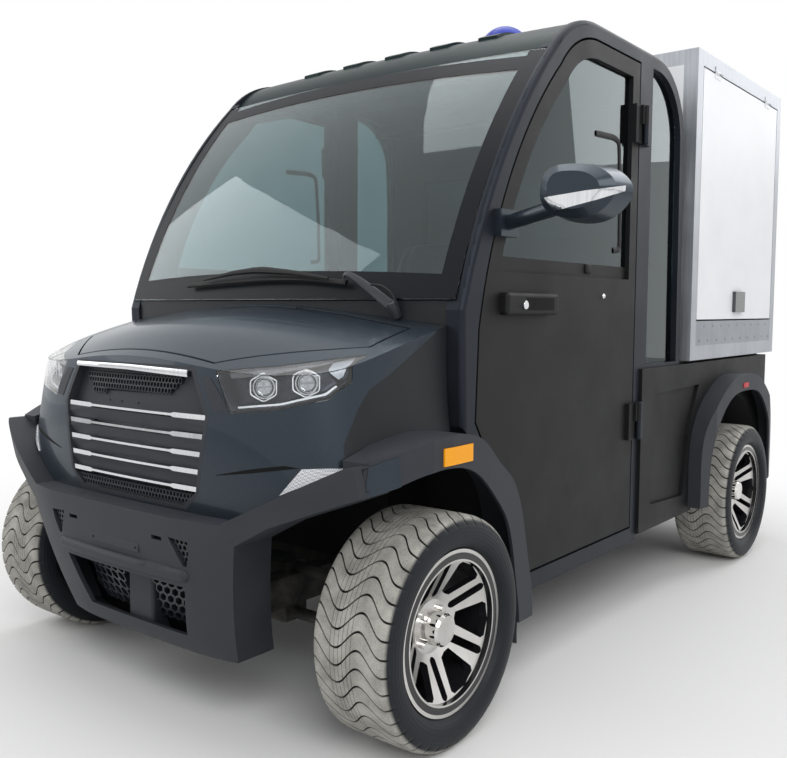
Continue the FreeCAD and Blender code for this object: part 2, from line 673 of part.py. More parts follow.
DASH_TOP_Z = 1022.0
DASH_BOTTOM_Z = 800.0
DASH_DEPTH = 235.0
DASH_NOSE = 70.0
STEER_X = 315.0
STEER_RAKE = 35.0
STEER_CENTRE_Y = -655.0
STEER_CENTRE_Z = 1010.0
STEER_RADIUS = 175.0
STEER_RIM = 14.0
STEER_HUB_RADIUS = 45.0
STEER_HUB_DEPTH = 34.0
STEER_SPOKES = 3
STEER_SPOKE_WIDTH = 30.0
STEER_SPOKE_THICKNESS = 10.0
COLUMN_RADIUS = 28.0
COLUMN_LENGTH = 230.0


def build_dash():
    y0 = SCREEN_FOOT[0] + FIREWALL_SETBACK
    y1 = y0 + DASH_DEPTH
    curve = [(y0, DASH_TOP_Z), (y0 + DASH_DEPTH / 2, DASH_TOP_Z + SEAM),
             (y1 - SEAM, DASH_TOP_Z - DASH_NOSE / 3), (y1, DASH_TOP_Z - DASH_NOSE),
             (y1 - DASH_NOSE, DASH_BOTTOM_Z)]
    rail_y = SCREEN_FOOT[0] + HEADER_DEPTH
    rail_z = SCREEN_FOOT[1] - SCREEN_RAIL_DROP
    dash = spline_prism_x(curve, [(y0, DASH_BOTTOM_Z)], -CAB_INNER_X, CAB_INNER_X)
    slot = block(-CAB_HALF_WIDTH, CAB_HALF_WIDTH, rail_y, rail_y + HEADER_HEIGHT,
                 rail_z - HEADER_DEPTH, rail_z)
    wall = block(-CAB_HALF_WIDTH, CAB_HALF_WIDTH, y0, y0 + TUB_WALL, DASH_BOTTOM_Z, FIREWALL_TOP_Z)
    keep("dashboard", cut(dash, [slot, wall]))


def steering_frame(shape):
    """Places a shape drawn about the Z axis on the steering column."""
    shape.rotate(V(0, 0, 0), V(1, 0, 0), -STEER_RAKE)
    shape.translate(V(STEER_X, STEER_CENTRE_Y, STEER_CENTRE_Z))
    return shape


def build_steering():
    rim = Part.makeTorus(STEER_RADIUS, STEER_RIM)
    hub = Part.makeCylinder(STEER_HUB_RADIUS, STEER_HUB_DEPTH, V(0, 0, -STEER_HUB_DEPTH))
    parts = [rim, hub]
    for i in range(STEER_SPOKES):
        spoke = block(-STEER_SPOKE_WIDTH / 2, STEER_SPOKE_WIDTH / 2, 0, STEER_RADIUS,
                      -STEER_SPOKE_THICKNESS, 0)
        spoke.rotate(V(0, 0, 0), V(0, 0, 1), 360 * (i + 0.5) / STEER_SPOKES)
        parts.append(spoke)
    keep("steering_wheel", steering_frame(fuse(parts)))
    top = -STEER_HUB_DEPTH - SEAT_FIT
    column = Part.makeCylinder(COLUMN_RADIUS, COLUMN_LENGTH, V(0, 0, top - COLUMN_LENGTH))
    nodes["dashboard"] = fuse([nodes["dashboard"], steering_frame(column)])


# Bumper sizes, which the nose's lower edge follows

BUMPER_TOP_Z = 547.0
BUMPER_CORNER_X = 386.0
BUMPER_TIP_X = 706.0
BUMPER_TIP_Z = 708.0
BUMPER_TIP_LOW_Z = 630.0
BUMPER_FOOT_HALF = 345.0
BUMPER_FOOT_Z = 184.0
BUMPER_ELBOW_SHARES = ((0.74, 0.78), (0.61, 0.706))
BUMPER_LEVEL_ZS = (184.0, 420.0, 700.0)
BUMPER_POLE_SHARES = (
    ((0.87, 0.63), (0.86, 0.43), (0.70, 0.28), (0.43, 0.19), (0.28, 0.17)),
    ((1.01, 0.50), (1.00, 0.33), (0.81, 0.18), (0.48, 0.06), (0.30, 0.035)),
    ((1.10, 0.44), (1.08, 0.26), (0.93, 0.13), (0.58, 0.015), (0.36, -0.01)),
)
BUMPER_WALL = 12.0
BUMPER_BACK = 90.0
SLOT_X = 178.0
SLOT_Z = 488.0
SLOT_WIDTH = 38.0
SLOT_HEIGHT = 10.0
PLATE_SPACING = 180.0
PLATE_HOLE_RADIUS = 3.5
PLATE_HOLE_Z = 448.0
PLATE_PAD_HALF = 101.0
PLATE_PAD_HEIGHT = 22.0
PLATE_PAD_SETBACK = 12.0
CHIN_BAR_RADIUS = 18.0
CHIN_BAR_Z = 404.0
CHIN_BAR_HALF = 252.0
CHIN_BAR_SETBACKS = (25.0, 37.0)
CHIN_OPEN_Z = (232.0, 372.0)
CHIN_OPEN_HALF = (205.0, 250.0)
CHIN_MESH_DEPTH = 58.0
CHIN_BLOCK_HALF = 52.0
CHIN_BLOCK_Y = (-1480.0, -1400.0)
CHIN_BLOCK_Z = (190.0, 366.0)
CHIN_BLOCK_ROUND = 10.0
CHEEK_SHARES = ((0.575, 0.909), (0.746, 0.901), (0.735, 0.84), (0.700, 0.782), (0.668, 0.786))


# Nose: one moulded shell, parted into fascia, hood and side panels

NOSE_FRONT_Y = -1512.0
NOSE_REAR_Y = -1012.0
NOSE_LEVEL_ZS = (545.0, 790.0, 1080.0)
NOSE_POLE_SHARES = (
    ((1.065, 1.0), (1.065, 0.41), (1.05, 0.20), (0.74, 0.075), (0.43, 0.01)),
    ((1.003, 1.0), (1.003, 0.50), (0.945, 0.235), (0.74, 0.10), (0.45, 0.0)),
    ((1.0, 1.0), (1.0, 0.70), (0.97, 0.40), (0.70, 0.20), (0.43, 0.10)),
)
NOSE_BOTTOM_Z = NOSE_LEVEL_ZS[0]
HOOD_FRONT_Z = 905.0
HOOD_REAR_Z = 1060.0
HOOD_X_SHARES = (-1.08, -0.48, 0.0, 0.48, 1.08)
HOOD_POLE_SHARES = (
    ((-0.04, -0.45), (0.10, -0.28), (0.40, -0.02), (0.65, 0.30), (1.04, 0.62)),
    ((-0.04, -0.20), (0.07, -0.03), (0.26, 0.30), (0.52, 0.60), (1.04, 0.90)),
    ((-0.04, 0.00), (0.07, 0.12), (0.26, 0.55), (0.52, 0.75), (1.04, 1.02)),
)
HOOD_FRONT_HALF = 285.0
HOOD_REAR_HALF = 572.0
HOOD_KNEE_Y = -1230.0
HOOD_LIP_Y = -1462.0
HOOD_REAR_GAP = 16.0
HOOD_AXIS_SETBACK = 6.0
HOOD_AXIS_Z = 1040.0
HOOD_HINGE_X = 150.0
HOOD_BARREL_RADIUS = 5.0
HOOD_BARREL_LENGTH = 26.0
HOOD_ARM_REACH = 60.0
GRILLE_TOP_Z = 902.0
GRILLE_WAIST_Z = 785.0
GRILLE_KNEE_Z = 600.0
GRILLE_FOOT_Z = 553.0
GRILLE_TOP_HALF = 245.0
GRILLE_WAIST_HALF = 302.0
GRILLE_KNEE_HALF = 270.0
GRILLE_FOOT_HALF = 222.0
GRILLE_BORDER = 11.0
GRILLE_BAR_ZS = (607.0, 650.0, 693.0, 736.0, 782.0)
GRILLE_BAR_HEIGHT = 6.0
GRILLE_BAR_END_HEIGHT = 12.0
GRILLE_BAR_END_X = 165.0
GRILLE_SLAT_HEIGHT = 33.0
GRILLE_SLAT_DEPTH = 14.0
LAMP_SHARES = (
    (0.481, 0.989), (0.694, 1.005), (0.823, 1.022), (0.928, 1.033), (0.937, 0.967), (0.897, 0.924),
    (0.759, 0.897), (0.562, 0.880), (0.521, 0.934))
LAMP_DEPTH = 90.0
LENS_THICKNESS = 4.0
SEAM_SIDE_SHARES = ((-0.0958, 0.3834), (-0.0749, 0.4252), (-0.0586, 0.4477), (-0.0330, 0.4623),
                    (0.0214, 0.4969), (0.0581, 0.5188), (0.0772, 0.5330))


def poled_curve(poles):
    """A smooth edge that its poles pull towards them."""
    spline = Part.BSplineCurve()
    spline.buildFromPoles([V(*p) for p in poles], False, 3)
    return spline.toShape()


def plan_outline(level, inward, z):
    """The nose's plan outline at one height, smaller by the wall for the inside."""
    run = NOSE_REAR_Y - NOSE_FRONT_Y
    left = []
    for x_share, y_share in NOSE_POLE_SHARES[level]:
        rear = CUT_OVERRUN * 2 if inward and y_share == 1 else 0
        left.append((NOSE_HALF_WIDTH * x_share - inward, NOSE_FRONT_Y + run * y_share + inward + rear, z))
    points = left + [(-x, y, zz) for x, y, zz in reversed(left)]
    back = Part.LineSegment(V(*points[-1]), V(*points[0])).toShape()
    return Part.Wire([poled_curve(points), back])


def hood_line(index, inward):
    """The hood's side-view section at one station across the nose, closed well below it."""
    run = NOSE_REAR_Y - NOSE_FRONT_Y
    rise = HOOD_REAR_Z - HOOD_FRONT_Z
    x = HOOD_X_SHARES[index] * NOSE_HALF_WIDTH
    points = [(x, NOSE_FRONT_Y + run * y_share, HOOD_FRONT_Z + rise * z_share - inward)
              for y_share, z_share in HOOD_POLE_SHARES[2 - abs(index - 2)]]
    low = NOSE_BOTTOM_Z - CUT_OVERRUN * 2
    front, rear = points[0], points[-1]
    corners = [rear, (x, rear[1], low), (x, front[1], low), front]
    edges = [poled_curve(points)]
    edges += [Part.LineSegment(V(*a), V(*b)).toShape() for a, b in zip(corners, corners[1:])]
    return Part.Wire(edges)


def nose_solid(inward):
    """The nose's full volume, its skins moved inwards by a distance."""
    levels = []
    for level, z in enumerate(NOSE_LEVEL_ZS):
        drop = CUT_OVERRUN if inward and level == 0 else 0
        levels.append(plan_outline(level, inward, z - drop))
    return loft(levels).common(loft([hood_line(i, inward) for i in range(len(HOOD_X_SHARES))]))


def hood_cutter(gap):
    """The prism that parts the hood from the nose, larger all round by the gap, and by more at the hinge.

    The sides run straight back from the knee, so that the hood can tip up about its rear edge.
    """
    rear_y = HOOD_REAR_Y + (HOOD_REAR_GAP - gap if gap else 0)
    half = [(HOOD_FRONT_HALF, HOOD_LIP_Y), (HOOD_REAR_HALF, HOOD_KNEE_Y), (HOOD_REAR_HALF, rear_y)]
    points = half + [(-x, y) for x, y in reversed(half)]
    bottom_z = HOOD_FRONT_Z - CUT_OVERRUN * 2
    outline = polygon([V(x, y, bottom_z) for x, y in points])
    if gap:
        outline = outline.makeOffset2D(gap, join=2)
    return Part.Face(outline).extrude(V(0, 0, HOOD_REAR_Z + CUT_OVERRUN * 2 - bottom_z))


def lamp_prism(margin):
    """The headlamp's outline, carried through the nose from front to back."""
    points = [(share_x * NOSE_HALF_WIDTH, share_z * HOOD_FRONT_Z) for share_x, share_z in LAMP_SHARES]
    middle_x = sum(x for x, z in points) / len(points)
    middle_z = sum(z for x, z in points) / len(points)
    grown = [(x + margin * (1 if x > middle_x else -1), z + margin * (1 if z > middle_z else -1))
             for x, z in points]
    return prism_y(grown, NOSE_FRONT_Y - CUT_OVERRUN, NOSE_REAR_Y - CUT_OVERRUN * 2)


def grille_prism(margin):
    """The grille's outline, smaller by the margin, carried through the nose's front."""
    m = margin
    half = [(GRILLE_TOP_HALF - m, GRILLE_TOP_Z - m), (GRILLE_WAIST_HALF - m, GRILLE_WAIST_Z),
            (GRILLE_KNEE_HALF - m, GRILLE_KNEE_Z), (GRILLE_FOOT_HALF - m, GRILLE_FOOT_Z + m)]
    outline = half + [(-x, z) for x, z in reversed(half)]
    return prism_y(outline, NOSE_FRONT_Y - CUT_OVERRUN * 2, NOSE_FRONT_Y + CUT_OVERRUN * 3)


def grille_bar(z):
    """A bright bar seen from the front, deeper towards both ends."""
    half, end = GRILLE_BAR_HEIGHT / 2, GRILLE_BAR_END_HEIGHT / 2
    step = GRILLE_BAR_END_X + GRILLE_BAR_END_HEIGHT
    upper = [(GRILLE_BAR_END_X, z + half), (step, z + end), (NOSE_HALF_WIDTH, z + end)]
    lower = [(NOSE_HALF_WIDTH, z - end), (step, z - end), (GRILLE_BAR_END_X, z - half)]
    right = upper + lower
    outline = right + [(-x, zz) for x, zz in reversed(right)]
    return prism_y(outline, NOSE_FRONT_Y - CUT_OVERRUN, NOSE_FRONT_Y + CUT_OVERRUN * 2)


def grille_slat(z):
    """The blade under a bright bar, which slopes back towards its lower edge."""
    top = z - GRILLE_BAR_END_HEIGHT / 2 - SEAT_FIT
    front = NOSE_FRONT_Y + PANEL_WALL
    back = NOSE_FRONT_Y + PANEL_WALL * 5
    outline = [(front, top), (front + GRILLE_SLAT_DEPTH, top - GRILLE_SLAT_HEIGHT),
               (back, top - GRILLE_SLAT_HEIGHT), (back, top)]
    return prism_x(outline, -NOSE_HALF_WIDTH, NOSE_HALF_WIDTH)


def side_panel_cutter():
    """The region behind the glossy nose's seam, in the side view."""
    seam = [spot(share) for share in SEAM_SIDE_SHARES]
    behind_y = NOSE_REAR_Y + CUT_OVERRUN * 2
    outline = seam + [(behind_y, HOOD_REAR_Z), (behind_y, NOSE_BOTTOM_Z),
                      (seam[0][0] - SEAM * 2, NOSE_BOTTOM_Z)]
    return prism_x(outline, NOSE_HALF_WIDTH / 2, NOSE_HALF_WIDTH * 2)


def hood_hinge_half(side):
    """The hood's half of its hinge: half a barrel on an arm under the skin."""
    y = HOOD_REAR_Y + HOOD_AXIS_SETBACK
    x0, x1 = sorted((side * HOOD_HINGE_X, side * (HOOD_HINGE_X - HOOD_BARREL_LENGTH)))
    barrel = rod(V(x0, y, HOOD_AXIS_Z), V(x1, y, HOOD_AXIS_Z), HOOD_BARREL_RADIUS)
    low = HOOD_AXIS_Z - HOOD_BARREL_RADIUS
    arm = block(x0, x1, HOOD_REAR_Y - HOOD_ARM_REACH, y, low - PANEL_WALL * 2, HOOD_AXIS_Z + PANEL_WALL)
    arm = largest(arm.common(nose_solid(PANEL_WALL / 2)))
    arm = arm.cut(block(x0, x1, y - HOOD_BARREL_RADIUS * 2, y + HOOD_BARREL_RADIUS * 2,
                        HOOD_AXIS_Z, HOOD_REAR_Z))
    return fuse([arm, barrel])


def hood_bracket(side):
    """The cab's half of the hood hinge, standing on the firewall."""
    y, z, r = HOOD_REAR_Y + HOOD_AXIS_SETBACK, HOOD_AXIS_Z, HOOD_BARREL_RADIUS
    x0, x1 = sorted((side * (HOOD_HINGE_X + HINGE_SPLIT), side * (HOOD_HINGE_X + HOOD_BARREL_LENGTH)))
    wall_y = SCREEN_FOOT[0] + FIREWALL_SETBACK + TUB_WALL / 2
    outline = [(y - r, z), (y + r, z), (y + r, z - r * 4), (wall_y, FIREWALL_TOP_Z - r * 2),
               (wall_y, FIREWALL_TOP_Z - r * 6), (y - r, z - r * 6)]
    return fuse([prism_x(outline, x0, x1), rod(V(x0, y, z), V(x1, y, z), r)])


def under_nose():
    """What lies below the nose's lower edge, seen from the front."""
    far = CAB_HALF_WIDTH * 2
    low = NOSE_BOTTOM_Z - CUT_OVERRUN
    outline = [(-far, low), (far, low), (far, BUMPER_TIP_Z), (BUMPER_TIP_X, BUMPER_TIP_Z),
               (BUMPER_CORNER_X, BUMPER_TOP_Z), (-BUMPER_CORNER_X, BUMPER_TOP_Z),
               (-BUMPER_TIP_X, BUMPER_TIP_Z), (-far, BUMPER_TIP_Z)]
    return prism_y(outline, FRONT_Y - CUT_OVERRUN, SCREEN_FOOT[0] + CUT_OVERRUN * 2)


def build_nose():
    outer = nose_solid(0)
    shell = outer.cut(nose_solid(PANEL_WALL)).cut(under_nose())
    hood = largest(shell.common(hood_cutter(0)))
    rest = shell.cut(hood_cutter(SEAM))
    lamp = lamp_prism(0)
    rest = cut(rest, [lamp, mirrored(lamp), grille_prism(0)])
    cutter = side_panel_cutter()
    sides = rest.common(cutter)
    rest = cut(rest, [cutter, mirrored(cutter)])
    keep("side_panels", largest(sides), mirrored(largest(sides)))
    hinges = [hood_hinge_half(side) for side in (-1, 1)]
    keep("hood", fuse([hood] + hinges))
    keep("nose_fascia", largest(rest))
    depth = nose_solid(LAMP_DEPTH)
    prism = lamp_prism(-SEAT_FIT)
    behind_lens = nose_solid(LENS_THICKNESS)
    for name, solid, inner in (("headlamp_housings", behind_lens, depth),
                               ("headlamp_lenses", outer, behind_lens)):
        piece = largest(solid.common(prism).cut(inner))
        keep(name, piece, mirrored(piece))
    frame_prism, opening = grille_prism(SEAT_FIT), grille_prism(GRILLE_BORDER)
    back_face, rear_face = nose_solid(PANEL_WALL * 3), nose_solid(PANEL_WALL * 4)
    ring = outer.common(frame_prism).cut(rear_face).cut(opening)
    back = back_face.common(frame_prism).cut(rear_face)
    front = nose_solid(PANEL_WALL / 2)
    bars, blades = [], []
    for z in GRILLE_BAR_ZS:
        bars.append(front.common(grille_bar(z)).common(opening).cut(back_face))
        blades.append(front.common(grille_slat(z)).common(frame_prism).cut(rear_face))
    keep("grille", fuse([ring, back] + blades[1:]).cut(bars[0].fuse(bars[1:])))
    keep("grille_bars", *bars)


# Front flares: hollow arches whose outer edge follows the wheel

FLARE_OUTER_SHARES = (
    (-0.109, 0.369), (-0.072, 0.380), (-0.017, 0.391), (0.034, 0.389), (0.063, 0.378), (0.099, 0.345),
    (0.133, 0.315), (0.156, 0.269), (0.175, 0.194), (0.188, 0.133), (0.188, 0.110))
FLARE_INNER_SHARES = (
    (-0.109, 0.328), (-0.072, 0.340), (-0.040, 0.349), (0.006, 0.351), (0.046, 0.339), (0.088, 0.302),
    (0.119, 0.263), (0.137, 0.205), (0.1475, 0.150), (0.1525, 0.120), (0.1525, 0.110))
FLARE_PLAN_SHARES = (
    (-0.109, 0.898), (-0.072, 0.960), (-0.032, 0.993), (0.0, 1.0), (0.075, 0.995), (0.147, 0.987),
    (0.200, 0.980))
FLARE_HALF_WIDTH = 775.0
FLARE_INNER_X = CAB_INNER_X
FLARE_SKIN = 9.0
FLAP_THICKNESS = 5.0
FLAP_BOTTOM_Z = 148.0


def towards_axle(points, axle_y, distance):
    """Side-view points moved towards a wheel's centre."""
    moved = []
    for y, z in points:
        dy, dz = axle_y - y, TYRE_RADIUS - z
        length = hypot(dy, dz)
        moved.append((y + dy / length * distance, z + dz / length * distance))
    return moved


def plan_prism(shares, axle_y, half_width, inner_x, inward):
    outline = [(half_width * share_x - inward, axle_y + share_y * WHEELBASE) for share_y, share_x in shares]
    outline[0] = (outline[0][0], outline[0][1] + inward)
    first, last = outline[0], outline[-1]
    outline = [(inner_x, first[1])] + outline + [(inner_x, last[1])]
    return prism_z(outline, 0, CAB_ROOF_Z)


def flare(outer_shares, inner_shares, plan_shares, axle_y, inner_x):
    """A hollow wheel arch between two side-view curves, with a plan-view outer line."""
    outer = [(axle_y + y * WHEELBASE, z * CAB_ROOF_Z) for y, z in outer_shares]
    inner = [(axle_y + y * WHEELBASE, z * CAB_ROOF_Z) for y, z in inner_shares]
    wide = FLARE_HALF_WIDTH + CUT_OVERRUN
    band = spline_band_x(outer, inner, inner_x, wide)
    band = band.common(plan_prism(plan_shares, axle_y, FLARE_HALF_WIDTH, inner_x, 0))
    void = spline_band_x(towards_axle(outer, axle_y, FLARE_SKIN),
                         towards_axle(inner, axle_y, CUT_OVERRUN), inner_x - CUT_OVERRUN, wide)
    void = void.common(plan_prism(plan_shares, axle_y, FLARE_HALF_WIDTH, inner_x - CUT_OVERRUN, FLARE_SKIN))
    return largest(band.cut(void))


def build_front_flares():
    arch = flare(FLARE_OUTER_SHARES, FLARE_INNER_SHARES, FLARE_PLAN_SHARES, FRONT_AXLE_Y, FLARE_INNER_X)
    y = FRONT_AXLE_Y + FLARE_INNER_SHARES[-1][0] * WHEELBASE
    flap = block(FLARE_INNER_X, FLARE_HALF_WIDTH * FLARE_PLAN_SHARES[-1][1] - FLARE_SKIN,
                 y + FLARE_SKIN, y + FLARE_SKIN + FLAP_THICKNESS, FLAP_BOTTOM_Z,
                 FLARE_INNER_SHARES[-2][1] * CAB_ROOF_Z + CUT_OVERRUN)
    arch = largest(fuse([arch, flap]).cut(nose_solid(0)).cut(nodes["front_bumper"]))
    keep("front_flares", arch, mirrored(arch))


# Bumper: a moulded beam with raised wings, two slots and an open chin

def bumper_volume(inward):
    run = NOSE_REAR_Y - FRONT_Y
    wires = []
    for z, shares in zip(BUMPER_LEVEL_ZS, BUMPER_POLE_SHARES):
        left = [(CAB_HALF_WIDTH * x - inward, FRONT_Y + run * y + inward) for x, y in shares]
        points = [(x, y, z) for x, y in left] + [(-x, y, z) for x, y in reversed(left)]
        back = Part.LineSegment(V(*points[-1]), V(*points[0])).toShape()
        wires.append(Part.Wire([poled_curve(points), back]))
    return loft(wires)


def bumper_outline(inward):
    """The bumper from the front, from its left corner to its right one."""
    elbows = [(CAB_HALF_WIDTH * x, BUMPER_TIP_Z * z) for x, z in BUMPER_ELBOW_SHARES]
    right = [(BUMPER_CORNER_X, BUMPER_TOP_Z - inward), (BUMPER_TIP_X, BUMPER_TIP_Z - inward),
             (BUMPER_TIP_X, BUMPER_TIP_LOW_Z + inward)]
    right += [(x - inward / 2, z + inward) for x, z in elbows]
    right += [(BUMPER_FOOT_HALF - inward, BUMPER_FOOT_Z + inward)]
    return right + [(-x, z) for x, z in reversed(right)]


def plate_pad():
    """A flat on the bumper's face that a number plate bolts to."""
    face = FRONT_Y + PLATE_PAD_SETBACK
    return rounded_block(-PLATE_PAD_HALF, PLATE_PAD_HALF, face, face + BUMPER_WALL * 3,
                         PLATE_HOLE_Z - PLATE_PAD_HEIGHT / 2, PLATE_HOLE_Z + PLATE_PAD_HEIGHT / 2, SEAM / 3)


def chin_bar():
    """A round bar along the bumper's face, over the chin opening."""
    middle_y, end_y = [FRONT_Y + setback for setback in CHIN_BAR_SETBACKS]
    ends = [V(side * CHIN_BAR_HALF, end_y, CHIN_BAR_Z) for side in (-1, 1)]
    path = Part.Arc(ends[0], V(0, middle_y, CHIN_BAR_Z), ends[1]).toShape()
    start = path.tangentAt(path.FirstParameter)
    profile = Part.Wire(Part.makeCircle(CHIN_BAR_RADIUS, ends[0], start))
    bar = Part.Wire(path).makePipeShell([profile], True, True)
    return fuse([bar] + [Part.makeSphere(CHIN_BAR_RADIUS, end) for end in ends])


def front_prism(outline, depth):
    """An outline of (x, z) points carried from before the bumper to a depth behind its face."""
    return prism_y(outline, FRONT_Y - CUT_OVERRUN, FRONT_Y + depth)


def build_bumper():
    y0, y1 = FRONT_Y - CUT_OVERRUN, NOSE_REAR_Y
    beam = bumper_volume(0).common(prism_y(bumper_outline(0), y0, y1)).cut(bumper_volume(BUMPER_BACK))
    beam = beam.cut(bumper_volume(BUMPER_WALL).common(prism_y(bumper_outline(BUMPER_WALL), y0, y1)))
    low, high = CHIN_OPEN_HALF
    z0, z1 = CHIN_OPEN_Z
    mouth = front_prism([(-low, z0), (low, z0), (high, z1), (-high, z1)], BUMPER_BACK * 3)
    openings, holes = [], []
    for side in (-1, 1):
        slot = [(side * SLOT_X + x * SLOT_WIDTH / 2, SLOT_Z + z * SLOT_HEIGHT / 2)
                for x, z in ((-1, -1), (1, -1), (1, 1), (-1, 1))]
        cheek = [(side * BUMPER_CORNER_X * x, BUMPER_TOP_Z * z) for x, z in CHEEK_SHARES]
        openings += [front_prism(slot, BUMPER_BACK), front_prism(cheek, BUMPER_BACK * 2)]
        hole_x = side * PLATE_SPACING / 2
        holes.append(rod(V(hole_x, y0, PLATE_HOLE_Z), V(hole_x, FRONT_Y + BUMPER_BACK, PLATE_HOLE_Z),
                         PLATE_HOLE_RADIUS))
    lump = rounded_block(-CHIN_BLOCK_HALF, CHIN_BLOCK_HALF, *CHIN_BLOCK_Y, *CHIN_BLOCK_Z, CHIN_BLOCK_ROUND)
    beam = fuse([largest(cut(beam, openings + [mouth])), plate_pad(), chin_bar(), lump])
    bumper = largest(cut(beam, holes))
    keep("front_bumper", bumper)
    screens = []
    for opening, depth in [(o, BUMPER_WALL) for o in openings] + [(mouth, CHIN_MESH_DEPTH)]:
        layer = bumper_volume(depth).cut(bumper_volume(depth + PANEL_WALL / 2))
        area = opening.BoundBox
        lap = SEAM + depth - BUMPER_WALL
        window = block(area.XMin - lap, area.XMax + lap, y0, y1, area.ZMin - lap, area.ZMax + lap)
        screen = layer.common(window)
        if depth > BUMPER_WALL:
            screen = largest(screen.cut(bumper))
        screens.append(screen)
    keep("bumper_mesh", *screens)


# Bed sides and rear body under the box

BED_SIDE_X = 702.0
BED_SIDE_THICKNESS = 40.0
BED_FRONT_Y = 76.0
BED_REAR_Y = 1480.0
BED_BOTTOM_Z = 262.0
BED_TOP_Z = 850.0
BED_WELL_RADIUS = 412.0
BED_WELL_INNER_X = 530.0
BED_ROUND = 14.0
RECESS_DEPTH = 12.0
RECESS_SHARES = ((0.6302, 0.3896), (0.8326, 0.3933), (0.8023, 0.3347), (0.7860, 0.2929), (0.7744, 0.2270),
                  (0.7651, 0.1752), (0.6209, 0.1831))
REAR_FLARE_OUTER_SHARES = ((-0.2074, 0.1454), (-0.2070, 0.2197), (-0.1977, 0.2929), (-0.1716, 0.3353),
                           (-0.1172, 0.3776), (-0.0628, 0.4017), (0.0000, 0.4059), (0.0628, 0.4017),
                           (0.1172, 0.3776), (0.1716, 0.3353), (0.1977, 0.2929), (0.2070, 0.2197),
                           (0.2074, 0.1454))
REAR_FLARE_INNER_SHARES = ((-0.1791, 0.1454), (-0.1763, 0.2197), (-0.1605, 0.2850), (-0.1251, 0.3311),
                           (-0.0791, 0.3609), (-0.0395, 0.3692), (0.0000, 0.3708), (0.0395, 0.3692),
                           (0.0791, 0.3609), (0.1251, 0.3311), (0.1605, 0.2850), (0.1763, 0.2197),
                           (0.1791, 0.1454))
REAR_FLARE_PLAN_SHARES = (
    (-0.215, 0.965), (-0.16, 0.995), (-0.08, 1.0), (0.0, 1.0), (0.08, 1.0), (0.16, 0.995), (0.215, 0.965))


def well_cylinder(radius, x0, x1):
    return Part.makeCylinder(radius, x1 - x0, V(x0, REAR_AXLE_Y, TYRE_RADIUS), V(1, 0, 0))


def build_bed():
    x0 = BED_SIDE_X - BED_SIDE_THICKNESS
    side = block(x0, BED_SIDE_X, BED_FRONT_Y, BED_REAR_Y, BED_BOTTOM_Z, BODY_TOP_Z)
    recess = prism_x([spot(share) for share in RECESS_SHARES], BED_SIDE_X - RECESS_DEPTH,
                     BED_SIDE_X + CUT_OVERRUN)
    side = cut(side, [recess, well_cylinder(BED_WELL_RADIUS, x0 - CUT_OVERRUN, BED_SIDE_X + CUT_OVERRUN)])
    below = block(x0, BED_SIDE_X, REAR_AXLE_Y - BED_WELL_RADIUS, REAR_AXLE_Y + BED_WELL_RADIUS,
                  BED_BOTTOM_Z - CUT_OVERRUN, TYRE_RADIUS)
    side = largest(side.cut(below))
    keep("bed_sides", side, mirrored(side))
    nodes["cab_frame"] = cut(nodes["cab_frame"], [
        block(x0, BED_SIDE_X, BED_FRONT_Y, BED_REAR_Y, 0, BODY_TOP_Z),
        block(-BED_SIDE_X, -x0, BED_FRONT_Y, BED_REAR_Y, 0, BODY_TOP_Z)])
    t = PANEL_WALL
    front = CAB_REAR_Y + SEAM
    tub = block(-x0, x0, front, BED_REAR_Y, BED_BOTTOM_Z, BED_TOP_Z)
    inside = block(-x0 + t, x0 - t, front + t, BED_REAR_Y - t, BED_BOTTOM_Z - CUT_OVERRUN, BED_TOP_Z - t)
    shell = tub.cut(inside)
    pieces = [shell]
    for turn in (Part.Shape.copy, mirrored):
        well = well_cylinder(BED_WELL_RADIUS + t, BED_WELL_INNER_X - t, x0)
        well = well.common(block(0, x0, front, BED_REAR_Y, BED_BOTTOM_Z, BED_TOP_Z))
        pieces.append(turn(well))
    shell = fuse(pieces)
    for turn in (Part.Shape.copy, mirrored):
        hole = well_cylinder(BED_WELL_RADIUS, BED_WELL_INNER_X, x0 + CUT_OVERRUN)
        shell = shell.cut(turn(hole))
    under = block(BED_WELL_INNER_X, x0, REAR_AXLE_Y - BED_WELL_RADIUS, REAR_AXLE_Y + BED_WELL_RADIUS,
                  BED_BOTTOM_Z - CUT_OVERRUN, TYRE_RADIUS)
    rails = [block(side * RAIL_HALF_SPAN - RAIL_WIDTH / 2, side * RAIL_HALF_SPAN + RAIL_WIDTH / 2,
                   front - CUT_OVERRUN, front + CUT_OVERRUN, BED_BOTTOM_Z - CUT_OVERRUN, FLOOR_Z)
             for side in (-1, 1)]
    axle_way = block(-BED_WELL_INNER_X - t * 2, BED_WELL_INNER_X + t * 2, REAR_AXLE_Y - AXLE_SPRING_HALF,
                     REAR_AXLE_Y + AXLE_SPRING_HALF, BED_BOTTOM_Z - CUT_OVERRUN, TYRE_RADIUS + AXLE_TRAVEL)
    keep("rear_body", largest(cut(shell, [under, mirrored(under), axle_way] + rails)))
    arch = flare(REAR_FLARE_OUTER_SHARES, REAR_FLARE_INNER_SHARES, REAR_FLARE_PLAN_SHARES, REAR_AXLE_Y,
                 BED_SIDE_X)
    keep("rear_flares", arch, mirrored(arch))


# Cargo box: edge profiles, fixed panels, side hatches and rear doors

EDGE = 55.0
LEAF_GAP = 6.0
KICK_HEIGHT = 150.0
LATCH_WIDTH = 120.0
LATCH_HEIGHT = 86.0
LATCH_DEPTH = 14.0
LATCH_RISE = 28.0
FIXED_PANEL = 20.0
STRAP_RADIUS = 4.5
STRAP_STAND = 5.0
STRAP_PLATE = 2.5
STRAP_LEAF = 22.0
STRAP_HEIGHT = 64.0
STRAP_SHARES = (0.2, 0.8)
LEAF_LATCH_SHARE = 0.36


